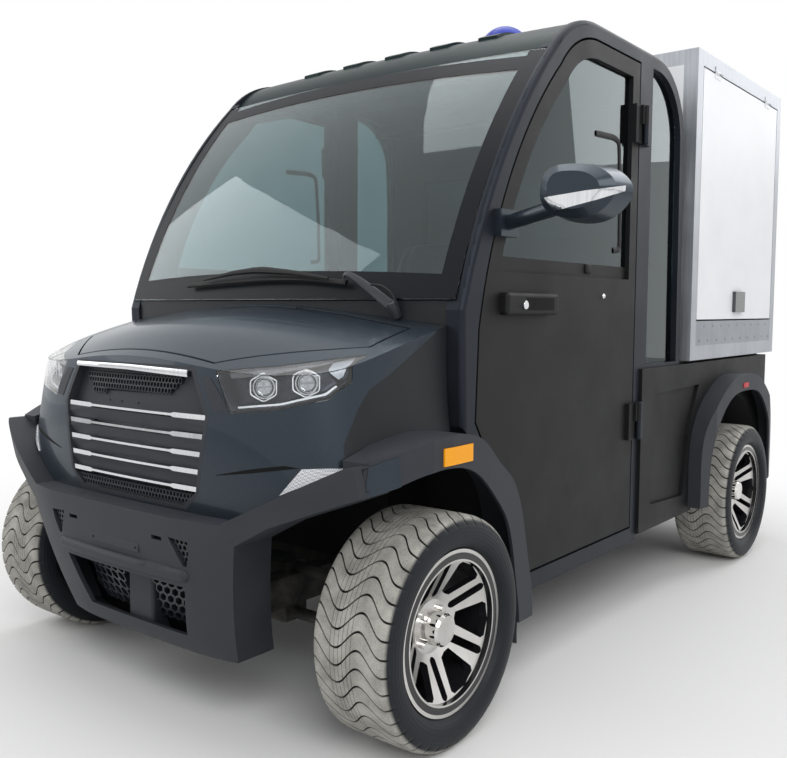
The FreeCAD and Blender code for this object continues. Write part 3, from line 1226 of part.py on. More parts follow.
def strap_leaf(point, across, out):
    """One leaf of a strap hinge: a plate on the panel's face and half of the barrel.

    The axis runs along across x out, so the leaf that points the other way takes the other half.
    """
    along = across.cross(out)
    half = STRAP_HEIGHT / 2
    barrel = Part.makeCylinder(STRAP_RADIUS, half - HINGE_SPLIT, V(0, STRAP_STAND, HINGE_SPLIT))
    plate = block(STRAP_STAND, STRAP_LEAF, 0, STRAP_PLATE, -half, half)
    web = block(0, STRAP_RADIUS + STRAP_PLATE, 0, STRAP_STAND, HINGE_SPLIT, half)
    piece = fuse([plate, web, barrel])
    place = FreeCAD.Matrix(across.x, out.x, along.x, point.x, across.y, out.y, along.y, point.y,
                           across.z, out.z, along.z, point.z, 0, 0, 0, 1)
    return placed(piece, place)


def placed(shape, matrix):
    moved = shape.copy()
    moved.transformShape(matrix)
    return moved


def build_box():
    x, y0, y1, z0, z1 = BOX_HALF_WIDTH, BOX_FRONT_Y, BOX_REAR_Y, BED_TOP_Z, BOX_TOP_Z
    e, over = EDGE, CUT_OVERRUN
    frame = cut(block(-x, x, y0, y1, z0, z1), [
        block(-x - over, x + over, y0 + e, y1 - e, z0 + e, z1 - e),
        block(-x + e, x - e, y0 - over, y1 + over, z0 + e, z1 - e),
        block(-x + e, x - e, y0 + e, y1 - e, z0 - over, z1 + over)])
    t = FIXED_PANEL
    panels = [block(-x + e, x - e, y0, y0 + t, z0 + e, z1 - e),
              block(-x + e, x - e, y0 + e, y1 - e, z0, z0 + t),
              block(-x + e, x - e, y0 + e, y1 - e, z1 - t, z1)]
    keep("box_panels", *panels)
    kick_top = z0 + KICK_HEIGHT
    kick = block(x - e, x, y0 + e, y1 - e, z0 + e, kick_top)
    keep("box_kick_plates", kick, mirrored(kick))
    hatch = block(x - BOX_WALL, x, y0 + e + LEAF_GAP, y1 - e - LEAF_GAP, kick_top + LEAF_GAP,
                  z1 - e - LEAF_GAP)
    y_mid = (y0 + y1) / 2
    latch_z = kick_top + LEAF_GAP + LATCH_RISE
    latch = block(x, x + LATCH_DEPTH, y_mid - LATCH_WIDTH / 2, y_mid + LATCH_WIDTH / 2, latch_z,
                  latch_z + LATCH_HEIGHT)
    leaf = block(LEAF_GAP / 2, x - e - LEAF_GAP, y1 - BOX_WALL, y1, z0 + e + LEAF_GAP, z1 - e - LEAF_GAP)
    bar_z = z0 + (z1 - z0) * LEAF_LATCH_SHARE
    leaf_latch = block(LEAF_GAP * 3, LEAF_GAP * 3 + LATCH_HEIGHT, y1, y1 + LATCH_DEPTH,
                       bar_z, bar_z + LATCH_WIDTH)
    up, left, back = V(0, 0, 1), V(1, 0, 0), V(0, 1, 0)
    fixed = []
    for share in STRAP_SHARES:
        y = y0 + share * (y1 - y0)
        top = V(x, y, z1 - e)
        fixed.append(strap_leaf(top, up, left))
        hatch = fuse([hatch, strap_leaf(top, -up, left)])
        side_point = V(x - e + LEAF_GAP / 2, y1, z0 + share * (z1 - z0))
        fixed.append(strap_leaf(side_point, left, back))
        leaf = fuse([leaf, strap_leaf(side_point, -left, back)])
    keep("box_frame", fuse([frame] + fixed + [mirrored(f) for f in fixed]))
    for side, turn in (("left", Part.Shape.copy), ("right", mirrored)):
        keep("hatch_" + side, turn(hatch))
        keep("hatch_latch_" + side, turn(latch))
        keep("rear_door_" + side, turn(leaf))
        keep("rear_door_latch_" + side, turn(leaf_latch))


# Wheels, steering knuckles and axles

RIM_HALF = 95.0
RIM_FLANGE = 8.0
BEAD_RADIUS = 178.0
BARREL_WALL = 9.0
DISC_RIM_X = 82.0
DISC_HUB_X = 28.0
DISC_THICKNESS = 22.0
HUB_RADIUS = 66.0
HUB_BORE = 20.0
HUB_BACK = -6.0
SPINDLE_SHY = 6.0
CAP_RADIUS = 42.0
CAP_HEIGHT = 46.0
CAP_CHAMFER = 7.0
LUG_COUNT = 4
LUG_PCD = 101.6
LUG_RADIUS = 8.0
LUG_HEIGHT = 12.0
SPOKES = 6
SPOKE_INNER_WIDTH = 58.0
SPOKE_OUTER_WIDTH = 76.0
SPOKE_SWIRL = 5.0
WINDOW_INNER_R = 88.0
WINDOW_OUTER_R = 166.0
SPOKE_SLOT_WIDTH = 21.0
SPOKE_SLOT_INNER_R = 84.0
SPOKE_SLOT_OUTER_R = 158.0
TYRE_BULGE_SHARE = 0.45
TYRE_SHOULDER_SHARE = 0.94
TYRE_SHOULDER_DROP = 15.0
TYRE_SKIN = 16.0
TYRE_FOOT = 24.0
TREAD_HALF_SHARE = 0.74
SPINDLE_CLEARANCE = 0.05
KNUCKLE_HALF = 34.0
KNUCKLE_REACH = 42.0
KINGPIN_RADIUS = 16.0
KINGPIN_HALF = 90.0
DRUM_RADIUS = 105.0
DRUM_DEPTH = 38.0
ARM_RADIUS = 20.0
AXLE_TUBE_RADIUS = 38.0
AXLE_SPRING_HALF = 330.0
AXLE_TRAVEL = 70.0
MOTOR_RADIUS = 95.0
MOTOR_LENGTH = 240.0
SPRING_LEAVES = 4
SPRING_WIDTH = 50.0
SPRING_LEAF = 9.0
SPRING_X = 400.0
SPRING_SAG = 40.0
SPRING_SINK_SHARE = 0.4


def tyre_solid():
    """A low tyre, open towards the rim, drawn about the X axis with +X outwards."""
    half = TYRE_WIDTH / 2
    tread = half * TREAD_HALF_SHARE
    wall_r = BEAD_RADIUS + (TYRE_RADIUS - BEAD_RADIUS) * TYRE_BULGE_SHARE
    bead_x = RIM_HALF - RIM_FLANGE
    outer = [(bead_x, BEAD_RADIUS), (bead_x, RIM_RADIUS + RIM_FLANGE / 2), (half, wall_r),
             (half * TYRE_SHOULDER_SHARE, TYRE_RADIUS - TYRE_SHOULDER_DROP), (tread, TYRE_RADIUS)]
    inner = [(tread, TYRE_RADIUS - TYRE_SKIN), (half - TYRE_SKIN, wall_r), (bead_x - TYRE_FOOT, BEAD_RADIUS)]
    return turned(outer + flipped(outer) + flipped(inner) + inner)


def flipped(profile):
    """The same points on the other side of x = 0, in the reverse order."""
    return [(-x, r) for x, r in reversed(profile)]


def turned(profile):
    """A closed profile of (x, radius) points turned about the X axis."""
    return Part.Face(polygon([V(x, 0, r) for x, r in profile])).revolve(V(0, 0, 0), V(1, 0, 0), 360)


def wheel_point(x, radius, angle):
    """A point in the wheel's own frame; the angle is in degrees from straight up."""
    return V(x, radius * sin(radians(angle)), radius * cos(radians(angle)))


def disc_hole(points):
    """A prism through the wheel's disc over (radius, angle) points."""
    face = Part.Face(polygon([wheel_point(0, r, a) for r, a in points]))
    return face.extrude(V(RIM_HALF, 0, 0))


def disc_window():
    """The opening between two spokes, with clipped corners, turned a little on its way out."""
    pitch = 360 / SPOKES
    sides = []
    for radius, width, swirl in ((WINDOW_INNER_R, SPOKE_INNER_WIDTH, 0),
                                 (WINDOW_OUTER_R, SPOKE_OUTER_WIDTH, SPOKE_SWIRL)):
        half = pitch / 2 - degrees(asin(width / 2 / radius))
        sides.append((radius, half, pitch / 2 + swirl))
    (r0, half0, mid0), (r1, half1, mid1) = sides
    nip = LUG_RADIUS
    clip = degrees(nip / r1)
    return disc_hole([(r0, mid0 - half0), (r1 - nip, mid1 - half1), (r1, mid1 - half1 + clip),
                      (r1 + nip / 2, mid1), (r1, mid1 + half1 - clip), (r1 - nip, mid1 + half1),
                      (r0, mid0 + half0), (r0 - nip / 2, mid0)])


def spoke_slot():
    """The round-ended slot that splits a spoke into twins."""
    r0, r1, half = SPOKE_SLOT_INNER_R, SPOKE_SLOT_OUTER_R, SPOKE_SLOT_WIDTH / 2
    bar = block(0, RIM_HALF, -half, half, r0, r1)
    ends = [rod(V(0, 0, r), V(RIM_HALF, 0, r), half) for r in (r0, r1)]
    slot = fuse([bar] + ends)
    slot.rotate(V(0, 0, 0), V(1, 0, 0), -SPOKE_SWIRL / 2)
    return slot


def rim_solid():
    """A deep-dished rim with twin spokes, drawn about the X axis with +X outwards."""
    h, f, b, w = RIM_HALF, RIM_FLANGE, BEAD_RADIUS, BARREL_WALL
    barrel = turned([(-h, RIM_RADIUS), (-h + f, RIM_RADIUS), (-h + f, b), (h - f, b), (h - f, RIM_RADIUS),
                     (h, RIM_RADIUS), (h, b - w), (-h, b - w)])
    disc = turned([(DISC_RIM_X, b - w / 2), (DISC_RIM_X - DISC_THICKNESS, b - w / 2),
                   (DISC_HUB_X - DISC_THICKNESS, HUB_RADIUS), (HUB_BACK, HUB_RADIUS), (HUB_BACK, HUB_BORE),
                   (DISC_HUB_X, HUB_BORE), (DISC_HUB_X, HUB_RADIUS)])
    holes = []
    for i in range(SPOKES):
        for hole in (disc_window(), spoke_slot()):
            hole.rotate(V(0, 0, 0), V(1, 0, 0), 360 * i / SPOKES)
            holes.append(hole)
    disc = cut(disc, holes)
    cap_x = DISC_HUB_X - SPINDLE_SHY + SEAT_FIT
    top = DISC_HUB_X + CAP_HEIGHT
    cap = turned([(cap_x, 0), (cap_x, HUB_BORE + SEAT_FIT), (DISC_HUB_X, CAP_RADIUS),
                  (top - CAP_CHAMFER, CAP_RADIUS - SEAM / 3), (top, CAP_RADIUS - CAP_CHAMFER), (top, 0)])
    lugs = []
    for i in range(LUG_COUNT):
        foot = wheel_point(DISC_HUB_X - SEAM, LUG_PCD / 2, 360 * (i + 1 / 2) / LUG_COUNT)
        lugs.append(Part.makeCylinder(LUG_RADIUS, LUG_HEIGHT + SEAM, foot, V(1, 0, 0)))
    return fuse([barrel, disc, cap] + lugs)


def build_wheels():
    tyre, rim = tyre_solid(), rim_solid()
    for end, y in (("front", FRONT_AXLE_Y), ("rear", REAR_AXLE_Y)):
        for side, turn in (("left", Part.Shape.copy), ("right", mirrored)):
            for kind, shape in (("tyre", tyre), ("rim", rim)):
                piece = shape.copy()
                piece.translate(V(WHEEL_X, y, TYRE_RADIUS))
                keep("_".join((kind, end, side)), turn(piece))


def build_front_axle():
    y, z = FRONT_AXLE_Y, TYRE_RADIUS
    face_x = WHEEL_X + HUB_BACK
    spindle = rod(V(KINGPIN_X, y, z), V(WHEEL_X + DISC_HUB_X - SPINDLE_SHY, y, z),
                  HUB_BORE - SPINDLE_CLEARANCE)
    drum = rod(V(face_x - DRUM_DEPTH - SEAT_FIT, y, z), V(face_x - SEAT_FIT, y, z), DRUM_RADIUS)
    body = block(KINGPIN_X - KNUCKLE_HALF, KINGPIN_X + KNUCKLE_HALF, y - KNUCKLE_HALF, y + KNUCKLE_HALF,
                 z - KNUCKLE_REACH, z + KNUCKLE_REACH)
    bore = rod(V(KINGPIN_X, y, z - KINGPIN_HALF), V(KINGPIN_X, y, z + KINGPIN_HALF),
               KINGPIN_RADIUS + SPINDLE_CLEARANCE)
    knuckle = fuse([spindle, drum, body]).cut(bore)
    keep("knuckle_left", knuckle)
    keep("knuckle_right", mirrored(knuckle))
    pieces = []
    pin_z = KNUCKLE_REACH + ARM_RADIUS * 2
    for side in (-1, 1):
        x = side * KINGPIN_X
        pieces.append(rod(V(x, y, z - pin_z), V(x, y, z + pin_z), KINGPIN_RADIUS))
        for up in (-1, 1):
            level = z + up * (KNUCKLE_REACH + ARM_RADIUS + SEAT_FIT)
            pieces.append(block(x - KINGPIN_RADIUS * 1.5, x + KINGPIN_RADIUS * 1.5, y - ARM_RADIUS,
                                y + ARM_RADIUS, level - ARM_RADIUS, level + ARM_RADIUS))
            pieces.append(rod(V(side * RAIL_HALF_SPAN, y, level), V(x, y, level), ARM_RADIUS * 0.8))
    cross = block(-RAIL_HALF_SPAN, RAIL_HALF_SPAN, y - ARM_RADIUS * 2, y + ARM_RADIUS * 2,
                  z - pin_z, z + pin_z)
    suspension = fuse([cross] + pieces)
    keep("front_suspension", suspension.cut(nodes["chassis_frame"]))


def build_rear_axle():
    y, z = REAR_AXLE_Y, TYRE_RADIUS
    face_x = WHEEL_X + HUB_BACK
    tube = rod(V(-face_x + SEAT_FIT, y, z), V(face_x - SEAT_FIT, y, z), AXLE_TUBE_RADIUS)
    stub_end = WHEEL_X + DISC_HUB_X - SPINDLE_SHY
    stub = rod(V(-stub_end, y, z), V(stub_end, y, z), HUB_BORE - SPINDLE_CLEARANCE)
    case = Part.makeSphere(MOTOR_RADIUS * 1.15, V(0, y, z))
    motor = rod(V(0, y, z), V(0, y - MOTOR_LENGTH, z), MOTOR_RADIUS)
    drums = []
    for side in (-1, 1):
        drums.append(rod(V(side * (face_x - DRUM_DEPTH), y, z), V(side * (face_x - SEAT_FIT), y, z),
                         DRUM_RADIUS))
    packs = []
    for side in (-1, 1):
        x0 = side * SPRING_X - SPRING_WIDTH / 2
        for leaf in range(SPRING_LEAVES):
            share = 1 - leaf / SPRING_LEAVES * 0.7
            reach = AXLE_SPRING_HALF * share
            top = z + AXLE_TUBE_RADIUS + SPRING_LEAF * (SPRING_LEAVES - leaf - SPRING_SINK_SHARE)
            rise = SPRING_SAG * share * share
            points = [(y - reach, top + rise), (y, top), (y + reach, top + rise)]
            low = [(py, pz - SPRING_LEAF) for py, pz in points]
            wire = side_wire([[points[0]], [points[1], points[2]], [low[2]], [low[1], low[0]]])
            packs.append(side_prism(wire, x0, x0 + SPRING_WIDTH))
    keep("rear_axle", fuse([tube, stub, case, motor] + drums + packs))
    keep("chassis_frame", nodes["chassis_frame"].cut(nodes["rear_axle"]))


# Lamps, beacon, wiper and rear bumper

BEACON_RADIUS = 84.0
BEACON_HEIGHT = 62.0
BEACON_FOOT = 12.0
BEACON_X = 310.0
BEACON_Y = -215.0
TAIL_LAMP_WIDTH = 46.0
TAIL_LAMP_HEIGHT = 260.0
TAIL_LAMP_DEPTH = 18.0
REAR_BEAM_HEIGHT = 110.0
REAR_BEAM_DEPTH = 46.0
REAR_BEAM_HALF = 640.0
TOW_TONGUE_HALF = 32.0
TOW_TONGUE_THICKNESS = 14.0
TOW_PIN_RADIUS = 9.5


def build_fittings():
    roof_z = CAB_ROOF_Z
    ball = (BEACON_RADIUS ** 2 + BEACON_HEIGHT ** 2) / (BEACON_HEIGHT * 2)
    dome = Part.makeSphere(ball, V(0, 0, BEACON_HEIGHT - ball))
    dome = dome.common(block(-ball, ball, -ball, ball, 0, ball))
    dome.translate(V(BEACON_X, BEACON_Y, roof_z + BEACON_FOOT))
    foot = Part.makeCylinder(BEACON_RADIUS, BEACON_FOOT + CUT_OVERRUN,
                             V(BEACON_X, BEACON_Y, roof_z - CUT_OVERRUN))
    above = block(0, BOX_HALF_WIDTH, -BOX_HALF_WIDTH, 0, roof_z, BOX_TOP_Z)
    foot = largest(foot.cut(nodes["roof"]).common(above))
    nodes["roof"] = fuse([nodes["roof"], foot])
    keep("beacon_dome", dome)
    y0 = BED_REAR_Y
    lamp = block(BED_SIDE_X - TAIL_LAMP_WIDTH * 2, BED_SIDE_X - TAIL_LAMP_WIDTH, y0, y0 + TAIL_LAMP_DEPTH,
                 BODY_TOP_Z - TAIL_LAMP_HEIGHT - CUT_OVERRUN, BODY_TOP_Z - CUT_OVERRUN)
    keep("tail_lamps", lamp, mirrored(lamp))
    z0 = BED_BOTTOM_Z
    beam = rounded_block(-REAR_BEAM_HALF, REAR_BEAM_HALF, REAR_Y - REAR_BEAM_DEPTH, REAR_Y, z0,
                         z0 + REAR_BEAM_HEIGHT, BED_ROUND)
    stays = []
    for side in (-1, 1):
        x = side * RAIL_HALF_SPAN
        stays.append(block(x - CUT_OVERRUN, x + CUT_OVERRUN, BED_REAR_Y, REAR_Y - REAR_BEAM_DEPTH / 2,
                           z0 + BED_ROUND, z0 + REAR_BEAM_HEIGHT - BED_ROUND))
    tongue = block(-TOW_TONGUE_HALF, TOW_TONGUE_HALF, BED_REAR_Y, REAR_Y + TOW_TONGUE_REACH,
                   z0 + BED_ROUND, z0 + BED_ROUND + TOW_TONGUE_THICKNESS)
    beam = fuse([beam, tongue] + stays)
    pin_hole = Part.makeCylinder(TOW_PIN_RADIUS, REAR_BEAM_HEIGHT,
                                 V(0, REAR_Y + TOW_TONGUE_REACH / 2, z0))
    keep("rear_bumper", beam.cut(pin_hole))


def main():
    os.makedirs("parts", exist_ok=True)
    build_cab_frame()
    build_screen_and_roof()
    build_doors()
    build_cab_rear()
    build_chassis()
    build_tub()
    build_seats()
    build_dash()
    build_steering()
    build_nose()
    build_bumper()
    build_front_flares()
    build_bed()
    build_box()
    build_wheels()
    build_front_axle()
    build_rear_axle()
    build_fittings()
    for name, shape in nodes.items():
        shape.exportStep("parts/" + name + ".step")


main()
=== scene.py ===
"""Looks of a closed golf cart with a white load box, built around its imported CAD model.

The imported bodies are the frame: each finish goes on its CAD node, and each piece made here rides a body.
Lengths are metres. X is across with the driver's side positive, the nose looks along -Y, and Z is up.
"""

import math

import bmesh
import bpy
import numpy as np
from mathutils import Matrix, Vector


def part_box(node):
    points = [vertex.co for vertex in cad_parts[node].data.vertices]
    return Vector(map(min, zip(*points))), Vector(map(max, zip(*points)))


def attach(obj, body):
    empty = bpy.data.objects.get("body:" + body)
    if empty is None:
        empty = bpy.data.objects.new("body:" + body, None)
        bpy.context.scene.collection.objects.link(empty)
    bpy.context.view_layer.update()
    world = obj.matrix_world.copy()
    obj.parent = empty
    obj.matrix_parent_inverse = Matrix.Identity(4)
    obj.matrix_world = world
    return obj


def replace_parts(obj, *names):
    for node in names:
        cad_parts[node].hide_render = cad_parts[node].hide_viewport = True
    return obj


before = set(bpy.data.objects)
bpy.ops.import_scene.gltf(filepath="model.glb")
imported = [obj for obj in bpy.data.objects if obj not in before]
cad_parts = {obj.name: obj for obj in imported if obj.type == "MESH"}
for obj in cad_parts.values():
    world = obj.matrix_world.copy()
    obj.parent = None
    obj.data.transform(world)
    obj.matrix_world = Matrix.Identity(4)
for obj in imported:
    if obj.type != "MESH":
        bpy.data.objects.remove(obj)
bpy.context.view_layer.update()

# The photograph's view

PHOTO_WIDTH = 787
PHOTO_MIDDLE = (393.5, 379.0)
FOCAL_PIXELS = 903.0
SENSOR = 36.0
CAMERA_PLACE = (1.960, -2.883, 1.043)
CAMERA_YAW = 38.48
CAMERA_PITCH = 4.47
CAMERA_ROLL = 0.28
FRONT_START_Y = -2.0
FRONT_SPREAD = 0.12


def view_axes():
    """The camera's right, up and ahead: the view direction turned by yaw and pitch, then rolled about itself."""
    yaw, pitch, roll = (math.radians(angle) for angle in (CAMERA_YAW, CAMERA_PITCH, CAMERA_ROLL))
    ahead = Vector((-math.sin(yaw) * math.cos(pitch), math.cos(yaw) * math.cos(pitch), -math.sin(pitch)))
    level = Vector((math.cos(yaw), math.sin(yaw), 0.0))
    upright = level.cross(ahead)
    right = math.cos(roll) * level + math.sin(roll) * upright
    return right, math.cos(roll) * upright - math.sin(roll) * level, ahead


def photo_camera():
    """The camera at the photograph's place, with no shift and no depth of field."""
    right, up, ahead = view_axes()
    lens = bpy.data.cameras.new("photo_view")
    lens.lens = FOCAL_PIXELS / PHOTO_WIDTH * SENSOR
    lens.sensor_width = SENSOR
    lens.clip_end = 100.0
    camera = link(bpy.data.objects.new("photo_view", lens))
    camera.matrix_world = Matrix.Translation(CAMERA_PLACE) @ Matrix((right, up, -ahead)).transposed().to_4x4()
    bpy.context.scene.camera = camera


def link(obj):
    bpy.context.scene.collection.objects.link(obj)
    return obj


# Places on the CAD skin


def read_points(mesh):
    points = np.empty(len(mesh.vertices) * 3, np.float32)
    mesh.vertices.foreach_get("co", points)
    return points.reshape(-1, 3).astype(float)


def write_points(mesh, points):
    mesh.vertices.foreach_set("co", points.astype(np.float32).ravel())


def unit(vectors):
    return vectors / np.linalg.norm(vectors, axis=-1, keepdims=True)


def triangles_of(names):
    """The corners of every triangle of the named CAD nodes, as an array of triangles by corners by axes."""
    found = []
    for name in names:
        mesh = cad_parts[name].data
        mesh.calc_loop_triangles()
        corners = np.empty(len(mesh.loop_triangles) * 3, np.int32)
        mesh.loop_triangles.foreach_get("vertices", corners)
        found.append(read_points(mesh)[corners].reshape(-1, 3, 3))
    return np.concatenate(found)


def first_hits(starts, aims, names):
    """Where each ray first meets the named CAD nodes, with the unit face normal turned against the ray.

    A ray meets a triangle where its two edge weights are not negative and add up to one at most; the least
    distance ahead wins. A ray that meets nothing gives not-a-number.
    """
    corners = triangles_of(names)
    edge_one, edge_two = corners[:, 1] - corners[:, 0], corners[:, 2] - corners[:, 0]
    normals = np.cross(edge_one, edge_two)
    places, facings = [], []
    for some in np.array_split(np.arange(len(starts)), max(1, len(starts) // 60)):
        start, aim = starts[some], aims[some]
        facing = -aim @ normals.T
        facing = np.where(np.abs(facing) < 1e-14, 1e-14, facing)
        away = start[:, None] - corners[None, :, 0]
        distance = np.einsum("rtk,tk->rt", away, normals) / facing
        side = np.cross(away, aim[:, None])
        one = np.einsum("rtk,tk->rt", side, edge_two) / facing
        two = -np.einsum("rtk,tk->rt", side, edge_one) / facing
        inside = (one >= -1e-6) & (two >= -1e-6) & (one + two <= 1 + 1e-6) & (distance > 0)
        distance = np.where(inside, distance, np.inf)
        nearest = distance.argmin(1)
        reach = distance[np.arange(len(some)), nearest]
        reach = np.where(np.isfinite(reach), reach, np.nan)
        places.append(start + reach[:, None] * aim)
        normal = unit(normals[nearest])
        facings.append(normal * -np.sign((normal * aim).sum(1, keepdims=True)))
    return np.concatenate(places), np.concatenate(facings)


def pixel_aims(pixels):
    """The directions from the camera through the photograph's pixels, one unit deep each."""
    right, up, ahead = (np.array(axis) for axis in view_axes())
    offsets = (np.asarray(pixels, float).reshape(-1, 2) - PHOTO_MIDDLE) / FOCAL_PIXELS
    return ahead + offsets[:, :1] * right - offsets[:, 1:] * up


def seen_at(pixels, names):
    """The points of the named CAD nodes that the photograph's pixels look at, and the normals there."""
    aims = unit(pixel_aims(pixels))
    return first_hits(np.tile(CAMERA_PLACE, (len(aims), 1)).astype(float), aims, names)


def seen_on_plane(pixels, axis, value):
    """The points of the plane axis = value that the photograph's pixels look at."""
    aims = pixel_aims(pixels)
    return CAMERA_PLACE + ((value - CAMERA_PLACE[axis]) / aims[:, axis])[:, None] * aims


def straight_hits(x, z, names):
    """Where rays along +Y from in front of the nose first meet the named nodes, for grids of x and z."""
    x, z = (np.ravel(grid) for grid in np.broadcast_arrays(x, z))
    starts = np.stack([x, np.full(x.size, FRONT_START_Y), z], 1)
    return first_hits(starts, np.tile((0.0, 1.0, 0.0), (x.size, 1)), names)[0]


def front_depth(names, xs, zs, samples=14):
    """A quadratic y(x, z) fitted by least squares to the front of the named nodes over a box of x and z."""
    x, z = np.meshgrid(np.linspace(*xs, samples), np.linspace(*zs, samples))
    places = straight_hits(x, z, names)
    kept = places[np.isfinite(places[:, 1])]
    kept = kept[np.abs(kept[:, 1] - np.median(kept[:, 1])) < FRONT_SPREAD]

    def terms(x, z):
        return np.stack([np.ones_like(x), x, z, x * x, x * z, z * z], -1)

    weights = np.linalg.lstsq(terms(kept[:, 0], kept[:, 2]), kept[:, 1], rcond=None)[0]
    return lambda x, z: terms(x, z) @ weights


# Surfaces: arrays of points with quads between neighbours


def grid_faces(rows, columns, wrap_rows=False, wrap_columns=False):
    """Quads between the neighbours of a grid of rows by columns; wrapping joins the last to the first."""
    row = np.arange(rows if wrap_rows else rows - 1)
    column = np.arange(columns if wrap_columns else columns - 1)
    row, column = (grid.ravel() for grid in np.meshgrid(row, column, indexing="ij"))
    below, beside = (row + 1) % rows, (column + 1) % columns
    return np.stack([row * columns + column, row * columns + beside, below * columns + beside,
                     below * columns + column], 1)


def slab(top, bottom):
    """A closed plate between two grids of the same size: both faces, and quads round their edge."""
    rows, columns = top.shape[:2]
    count = rows * columns
    index = np.arange(count).reshape(rows, columns)
    edge = np.concatenate([index[0, :-1], index[:-1, -1], index[-1, :0:-1], index[:0:-1, 0]])
    after = np.roll(edge, -1)
    faces = grid_faces(rows, columns)
    rim = np.stack([edge, edge + count, after + count, after], 1)
    return (np.concatenate([top.reshape(-1, 3), bottom.reshape(-1, 3)]),
            np.concatenate([faces, faces[:, ::-1] + count, rim]))


def mirrored(part):
    """The same part on the other side of the cart: x changes sign, and each face its winding."""
    points, faces = part
    return points * (-1, 1, 1), faces[:, ::-1]


def plate(face, back):
    """A closed plate between a face and the same face moved back by a vector."""
    return slab(face, face + back)


def repeated(faces, count, step):
    """The faces again for each of count copies whose points follow each other by the step."""
    return (faces + np.arange(count)[:, None, None] * step).reshape(-1, 4)


def copies(part, places):
    """The part repeated at each place."""
    points, faces = part
    moved = points + np.asarray(places, float)[:, None]
    return moved.reshape(-1, 3), repeated(faces, len(places), len(points))


def volume(points, faces):
    """The signed volume that a closed part's faces shut in, from fans of triangles about the origin."""
    a, b, c, d = (points[faces[:, i]] for i in range(4))
    return (np.einsum("ij,ij->i", a, np.cross(b, c)) + np.einsum("ij,ij->i", a, np.cross(c, d))).sum()


def surface(name, parts, finish, body, smooth=35.0, masks=None):
    """One piece of closed parts laid end to end, faces turned outwards, riding its body."""
    points, faces, start = [], [], 0
    for part_points, part_faces in parts:
        centred = part_points - part_points.mean(0)
        outward = part_faces if volume(centred, part_faces) > 0 else part_faces[:, ::-1]
        points.append(part_points)
        faces.append(outward + start)
        start += len(part_points)
    mesh = bpy.data.meshes.new(name)
    mesh.from_pydata(np.concatenate(points).tolist(), [], np.concatenate(faces).tolist())
    for mask, values in (masks or {}).items():
        attribute = mesh.attributes.new(mask, "FLOAT", "POINT")
        attribute.data.foreach_set("value", np.asarray(values, np.float32).ravel())
    if not masks:
        work = bmesh.new()
        work.from_mesh(mesh)
        bmesh.ops.remove_doubles(work, verts=work.verts, dist=2e-6)
        work.to_mesh(mesh)
        work.free()
    mesh.polygons.foreach_set("use_smooth", np.ones(len(mesh.polygons), bool))
    mesh.set_sharp_from_angle(angle=math.radians(smooth))
    mesh.materials.append(FINISHES[finish])
    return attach(link(bpy.data.objects.new(name, mesh)), body)


def pair(name, parts, finish):
    """One piece on the chassis of the parts and their mirror images."""
    return surface(name, [*parts, *(mirrored(part) for part in parts)], finish, "chassis")


def along(points, shares):
    """A polyline read at shares of its own length."""
    points = np.asarray(points, float)
    steps = np.concatenate([[0], np.cumsum(np.linalg.norm(np.diff(points, axis=0), axis=1))])
    return np.stack([np.interp(shares * steps[-1], steps, column) for column in points.T], 1)


def rounded_path(points, count, softness=3):
    """A polyline read evenly, then smoothed by averaging neighbours; its two ends stay."""
    path = along(points, np.linspace(0, 1, count))
    for _ in range(softness):
        path[1:-1] = (path[:-2] + 2 * path[1:-1] + path[2:]) / 4
    return path


def between(top, bottom, rows, columns):
    """A grid that runs straight from one polyline to another, each read at equal shares of its length."""
    shares = np.linspace(0, 1, columns)
    upper, lower = along(top, shares), along(bottom, shares)
    down = np.linspace(0, 1, rows)[:, None, None]
    return upper * (1 - down) + lower * down


def grid_normals(points, towards):
    """Unit normals of a grid, from the cross product of its two directions, turned towards a vector."""
    normal = np.cross(np.gradient(points, axis=1), np.gradient(points, axis=0))
    length = np.linalg.norm(normal, axis=2, keepdims=True)
    normal = normal / np.where(length < 1e-12, 1, length)
    mean = unit(normal.reshape(-1, 3).mean(0))
    normal = np.where(length < 1e-9, mean, normal)
    return normal * np.sign(mean @ np.asarray(towards, float))


def skin_patch(top, bottom, names, rows, columns, stand, sink=0.0008):
    """A plate on the CAD skin between two lines of photograph pixels: stand above it, sink into it."""
    pixels = between(top, bottom, rows, columns)
    places, normals = seen_at(pixels, names)
    missed = ~np.isfinite(places[:, 0])
    if missed.any():
        known = places[~missed]
        flat = pixels.reshape(-1, 2)
        terms = np.column_stack([np.ones(len(flat)), flat, flat[:, 0] * flat[:, 1]])
        weights = np.linalg.lstsq(terms[~missed], known, rcond=None)[0]
        places[missed] = terms[missed] @ weights
    points = places.reshape(rows, columns, 3)
    normals = grid_normals(points, np.nanmean(normals[~missed], 0))
    return slab(points + stand * normals, points - sink * normals)


def circle(steps):
    return np.linspace(0, 2 * math.pi, steps, endpoint=False)


def tube(path, radii, sides=10, squash=1.0, flat_way=(0, 0, 1)):
    """A round or flattened bar: rings of the path's radius square to it, and a ring of no radius at each end.

    The path's end points are doubled, so no direction can be read there and the end rings are not a number.
    """
    path = np.asarray(path, float)
    radii = np.broadcast_to(np.asarray(radii, float), len(path)).copy()
    path = np.concatenate([path[:1], path, path[-1:]])
    radii = np.concatenate([[0], radii, [0]])
    run = unit(np.gradient(path, axis=0))
    across = unit(np.cross(run, np.asarray(flat_way, float)))
    over = np.cross(across, run)
    turn = circle(sides)
    ring = np.cos(turn)[:, None] * across[:, None] + squash * np.sin(turn)[:, None] * over[:, None]
    points = path[:, None] + radii[:, None, None] * ring
    return points.reshape(-1, 3), grid_faces(len(path), sides, wrap_columns=True)


